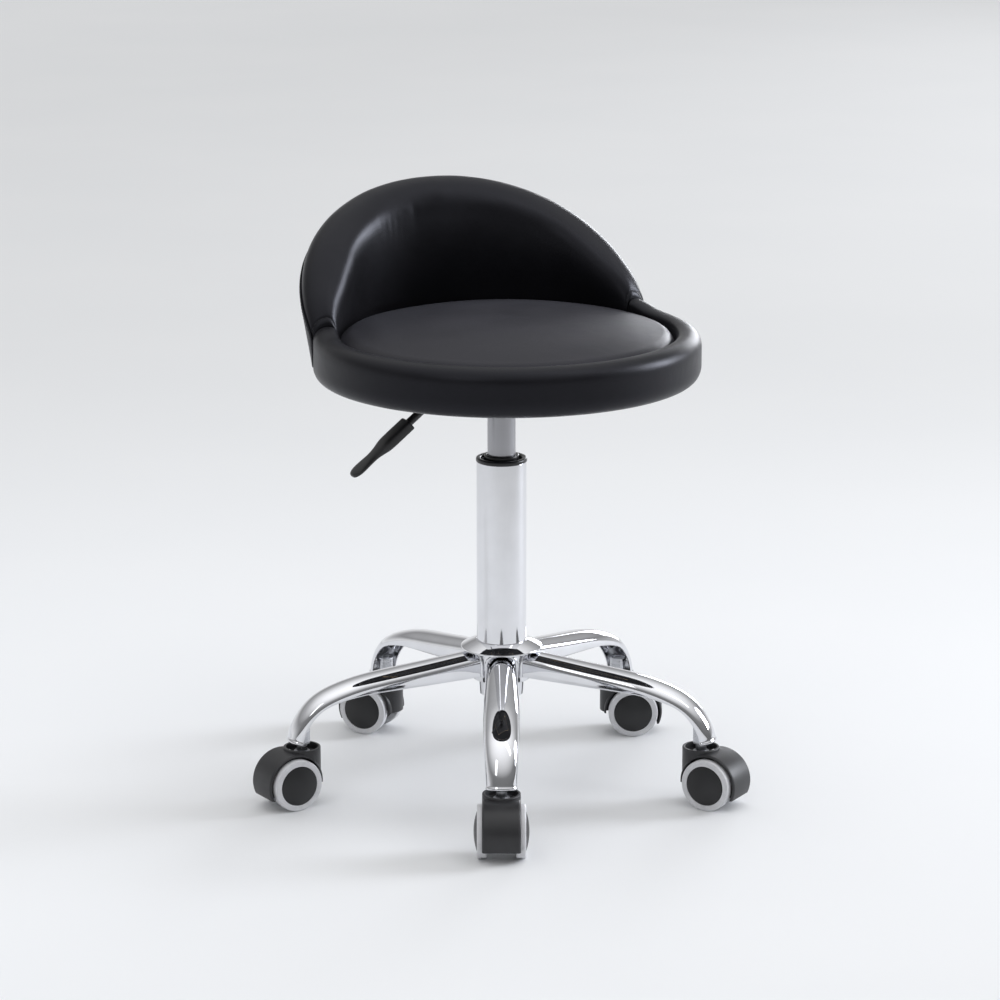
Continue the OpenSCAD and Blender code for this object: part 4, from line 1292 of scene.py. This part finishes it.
class STOOL_OT_backrest(bpy.types.Operator):
    """Low curved backrest with its padded roll, twin seams at both ends and fine puckers"""
    bl_idname = "stool.backrest"
    bl_label = "Backrest"

    def execute(self, context):
        half = sizes().back_angle
        angles = spread_angles(-half, half, NEAR_SEAM, 4.4)
        sections = [back_section(a) for a in angles]
        n = len(sections[0])
        back = face_outwards(skin("back_cover", [stand_up(s, a) for s, a in zip(sections, angles)]))
        centre = Vector((0, sizes().seat_centre))

        def held(p):
            angle = math.atan2(p.x, p.y - centre.y)
            radius = (p.xy - centre).length / MM
            h = back_rise(angle)
            outer = radius > RIM_R - 3.2 + back_lean(angle) * max(
                0, (p.z / MM - RIM_Z - 15) / (back_top(angle) - 30 - 9 * h - RIM_Z))
            beside_pad = p.z < PAD_CLEAR * MM and radius < RIM_IN + 3
            return p.z < (RIM_Z + 12) * MM or outer or beside_pad or half - abs(angle) < 0.004

        swell(back, held, 1.0 * MM, 3.0 * MM, easing=60)
        depths, seams = [], []
        roll_from, ridge = 26, 42
        for index in range(len(back.data.vertices)):
            angle, place_on = angles[index // n], index % n
            gap = (half - abs(angle)) * SEAM_R
            groove = 0.9 * bell(gap, 0.7) + 0.8 * bell(gap - 3.4, 0.6) + 0.25 * bell(gap, 7)
            degrees = math.degrees(angle)
            near_ridge = bell(place_on - ridge, 3.2) * (
                bell(degrees + 24, 9) + 0.5 * bell(degrees - 30, 8))
            pucker = 0.32 * near_ridge * math.sin(angle * SEAM_R / 1.5 + 2.0 * noise.noise(
                Vector((angle * 30, place_on * 0.3, 0))))
            pucker += 0.9 * bell(degrees + 11, 1.3) * bell(place_on - ridge + 3, 4)
            soft = 0.3 * noise.noise(Vector((angle * 9, place_on * 0.16, 3.1))) * bell(gap, 400)
            depths.append(groove + pucker + (soft if place_on > roll_from else 0))
            seams.append(max(bell(gap, 1.3), 0.8 * bell(gap - 3.4, 1.0)))
        press_in(back, depths)
        seam_attribute(back, seams)
        points = back.data.vertices
        seam_lines = [[point.co + point.normal * 0.12 * MM
                       for point in (points[ring * n + k] for k in range(12, 52))]
                      for ring in (5, len(angles) - 6)]
        thread = stitches("seam_stitching", seam_lines)
        finish_piece(thread, "seat", MATERIALS["thread"])
        shade(back, 60)
        subdivide(back, 1)
        finish_piece(back, "seat", MATERIALS["leather"], ["backrest"])
        return {"FINISHED"}


class STOOL_OT_back_panel(bpy.types.Operator):
    """Outer panel of the backrest with its sewn edge"""
    bl_idname = "stool.back_panel"
    bl_label = "Back Panel"

    def execute(self, context):
        half = sizes().back_angle
        angles = spread_angles(-half, half, (0.0, 0.8, 2.0, 4.0, 8.0), 6.0)
        rings, seams, lines = [], [], []
        count = 12
        for angle in angles:
            h = back_rise(angle)
            top = back_top(angle) - (15 + 9 * h)
            foot = RIM_Z + 15
            ring = []
            for k in range(count + 1):
                t = k / count
                t = t - math.sin(math.tau * t) / (math.tau * 1.6)
                bulge = 1.2 * math.sin(math.pi * t) * h
                ring.append((RIM_R + back_lean(angle) * t + bulge, foot + (top - foot) * t))
                edge = min((1 - t) * (top - foot), t * (top - foot) + 4)
                seams.append(bell(edge, 2.0))
            rings.append(stand_up(ring, angle))
            lines.append(stand_up([(RIM_R + back_lean(angle) * (1 - 5 / (top - foot))
                                    + 1.2 * math.sin(math.pi * (1 - 5 / (top - foot))) * h,
                                    top - 5)], angle)[0])
        panel = skin("panel_cover", rings, closed_rings=False, caps=False)
        middle = panel.data.polygons[len(panel.data.polygons) // 2]
        if middle.normal.dot(Vector((middle.center.x, middle.center.y, 0))) < 0:
            panel.data.flip_normals()
        seam_attribute(panel, seams)
        wall = panel.modifiers.new("Cover", "SOLIDIFY")
        wall.thickness = 2.0 * MM
        wall.offset = -1
        wall.use_even_offset = True
        shade(panel, 60)
        subdivide(panel, 2)
        finish_piece(panel, "seat", MATERIALS["leather"], ["back_panel"])
        thread = stitches("panel_stitching", [lines[4:-4]])
        finish_piece(thread, "seat", MATERIALS["thread"])
        return {"FINISHED"}


class STOOL_OT_pad(bpy.types.Operator):
    """Crowned middle pad"""
    bl_idname = "stool.pad"
    bl_label = "Seat Pad"

    def execute(self, context):
        low, top = PAD_LOW.z / MM, PAD_HIGH.z / MM
        radius, edge_r, edge_z = sizes().pad_radius / MM, 14.0, 457.0
        crown_x = radius - edge_r
        crown_h = top - edge_z - edge_r
        crown_r = (crown_x ** 2 + crown_h ** 2) / (2 * crown_h)
        profile = [(crown_x * k / 30, top - crown_r + math.sqrt(crown_r ** 2 - (crown_x * k / 30) ** 2))
                   for k in range(1, 31)]
        profile += arc_points(crown_x, edge_z, edge_r, 90, 0, 9, first=1)
        profile += line_points((radius, edge_z), (radius, low + 1), 2)
        profile += [(radius, low + 1), (radius - 2, low), (radius - 20, low), (60, low), (5, low)]
        steps = 144
        rings = [[Vector((r * math.cos(math.tau * k / steps), r * math.sin(math.tau * k / steps), z)) * MM
                  + Vector((0, sizes().seat_centre, 0)) for k in range(steps)] for r, z in profile]
        pad = face_outwards(skin("pad_cover", rings))
        swell(pad, lambda p: p.z < (low + 5) * MM, 1.0 * MM, 2.0 * MM, 3.0, easing=40)
        centre = Vector((0, sizes().seat_centre))
        for v in pad.data.vertices:
            out = v.co.xy - centre
            if out.length > radius * MM:
                out = out.normalized() * radius * MM
                v.co.xy = centre + out
        # Painted shade along the foot of the pad's edge, where it tucks against the rim.
        seams = [bell((p.co.z / MM - edge_z + 4), 8) * (1.0 if (p.co.xy - centre).length
                 > (radius - 4) * MM else 0.0) * 0.6 for p in pad.data.vertices]
        seam_attribute(pad, seams)
        shade(pad, 60)
        subdivide(pad, 1)
        # Painted light: the pad gets the lightened copy of the leather.
        finish_piece(pad, "seat", MATERIALS["pad_leather"], ["seat_pad"])
        return {"FINISHED"}


# ---------------------------------------------------------------- stage


def soft_box(name, at, target, size, power, colour=(1, 1, 1), spread=180):
    """Large soft light aimed at a point."""
    lamp = bpy.data.lights.new(name, "AREA")
    lamp.shape = "RECTANGLE"
    lamp.size, lamp.size_y = size
    lamp.energy = power
    lamp.color = colour
    lamp.spread = math.radians(spread)
    holder = bpy.data.objects.new(name, lamp)
    holder.location = at
    holder.rotation_euler = (Vector(target) - Vector(at)).to_track_quat("-Z", "Y").to_euler()
    holder.visible_camera = False
    bpy.context.scene.collection.objects.link(holder)
    return holder


class STOOL_OT_stage(bpy.types.Operator):
    """Pale floor, soft studio light and the camera"""
    bl_idname = "stool.stage"
    bl_label = "Stage"

    def execute(self, context):
        scene = context.scene
        look = scene.stage_settings
        floor_r, sides = 20, 64
        turns = [math.tau * k / sides for k in range(sides)]
        floor = link_mesh("studio_floor", [
            (floor_r * math.cos(a), floor_r * math.sin(a), 0) for a in turns], [tuple(range(sides))])
        floor.data.materials.append(MATERIALS["floor"])

        world = bpy.data.worlds.new("Studio")
        scene.world = world
        world.use_nodes = True
        nodes, links = world.node_tree.nodes, world.node_tree.links
        nodes.clear()
        output = add_node(nodes, "OutputWorld", "Studio surround", (600, 0))
        glow = add_node(nodes, "Background", "Studio walls", (350, 0), {"Strength": 1.02})
        direction = add_node(nodes, "TexCoord", "Direction", (-600, 0))
        split = add_node(nodes, "SeparateXYZ", "Height and depth of the direction", (-400, 0))
        front = add_node(nodes, "ValToRGB", "Dark room in front", (-150, 250))
        back = add_node(nodes, "ValToRGB", "Pale wall behind", (-150, -50))
        for ramp, tones in ((front, ((0.0, 0.16), (0.12, 0.20), (0.35, 0.24), (0.55, 0.60), (1.0, 1.35))),
                            (back, ((0.0, 0.93), (0.14, 0.68), (0.32, 0.32), (0.55, 0.50), (1.0, 1.35)))):
            while len(ramp.color_ramp.elements) < len(tones):
                ramp.color_ramp.elements.new(0.5)
            set_tones(ramp, *((height, shaded((0.985, 0.99, 1.0), tone)) for height, tone in tones))
        depth = add_node(nodes, "MapRange", "From front to back", (-150, -350), {
            "From Min": -0.35, "From Max": 0.55})
        room = add_node(nodes, "Mix", "Studio room", (130, 50))
        room.data_type = "RGBA"
        wire(links, (direction, "Generated", split, "Vector"), (split, "Z", front, "Fac"),
             (split, "Z", back, "Fac"), (split, "Y", depth, "Value"), (depth, "Result", room, "Factor"),
             (front, "Color", room, "A"), (back, "Color", room, "B"), (room, "Result", glow, "Color"),
             (glow, "Background", output, "Surface"))
        frame_nodes(nodes, "Room", [direction, split, front, back, depth, room])

        soft_box("side_light", (5.6, 5.6, 1.5), (0, 0, 0.5), (3.0, 2.0), 15, (0.93, 0.95, 1.0), 50)
        soft_box("ridge_light", (4.2, -0.7, 1.9), (0, 0.1, 0.54), (1.8, 2.4), 14, (0.90, 0.93, 1.0), 40)
        soft_box("fill_light", (-2.4, -1.8, 2.2), (0, 0, 0.35), (0.6, 1.6), 5, (0.98, 0.99, 1.0))
        soft_box("top_light", (0.9, -1.2, 2.8), (0, 0, 0.3), (0.5, 1.8), 4)

        camera_data = bpy.data.cameras.new("Camera")
        camera_data.lens = look.lens
        camera_data.sensor_width = 36
        camera_data.shift_x = -0.0015
        camera = bpy.data.objects.new("Camera", camera_data)
        camera.location = (look.distance * math.sin(look.azimuth),
                           -look.distance * math.cos(look.azimuth), look.height)
        camera.rotation_euler = (math.pi / 2 - look.pitch, 0, look.azimuth)
        scene.collection.objects.link(camera)
        scene.camera = camera
        scene.view_settings.view_transform = "Standard"
        return {"FINISHED"}


# ---------------------------------------------------------------- add-on


class STOOL_PT_sidebar(bpy.types.Panel):
    """Sizes, finishes and build steps of the stool"""
    bl_idname = "STOOL_PT_sidebar"
    bl_label = "Stool"
    bl_space_type = "VIEW_3D"
    bl_region_type = "UI"
    bl_category = "Stool"

    def draw(self, context):
        layout = self.layout
        for group in (context.scene.stool_sizes, context.scene.stool_finish, context.scene.stage_settings):
            box = layout.box()
            for name in group.__annotations__:
                box.prop(group, name)
        for step in STEPS:
            layout.operator(step.bl_idname)


STEPS = (
    STOOL_OT_stage, STOOL_OT_hub, STOOL_OT_legs, STOOL_OT_sockets, STOOL_OT_column, STOOL_OT_casters,
    STOOL_OT_plate, STOOL_OT_lever, STOOL_OT_hardware, STOOL_OT_rim, STOOL_OT_backrest,
    STOOL_OT_back_panel, STOOL_OT_pad,
)
GROUPS = (StoolSizes, StoolFinish, StageSettings)


def register():
    for group in GROUPS + STEPS + (STOOL_PT_sidebar,):
        bpy.utils.register_class(group)
    bpy.types.Scene.stool_sizes = PointerProperty(type=StoolSizes)
    bpy.types.Scene.stool_finish = PointerProperty(type=StoolFinish)
    bpy.types.Scene.stage_settings = PointerProperty(type=StageSettings)


def unregister():
    del bpy.types.Scene.stage_settings
    del bpy.types.Scene.stool_finish
    del bpy.types.Scene.stool_sizes
    for group in reversed(GROUPS + STEPS + (STOOL_PT_sidebar,)):
        bpy.utils.unregister_class(group)


def main():
    register()
    make_materials()
    for step in STEPS:
        group, name = step.bl_idname.split(".")
        getattr(getattr(bpy.ops, group), name)()


if __name__ == "__main__":
    main()
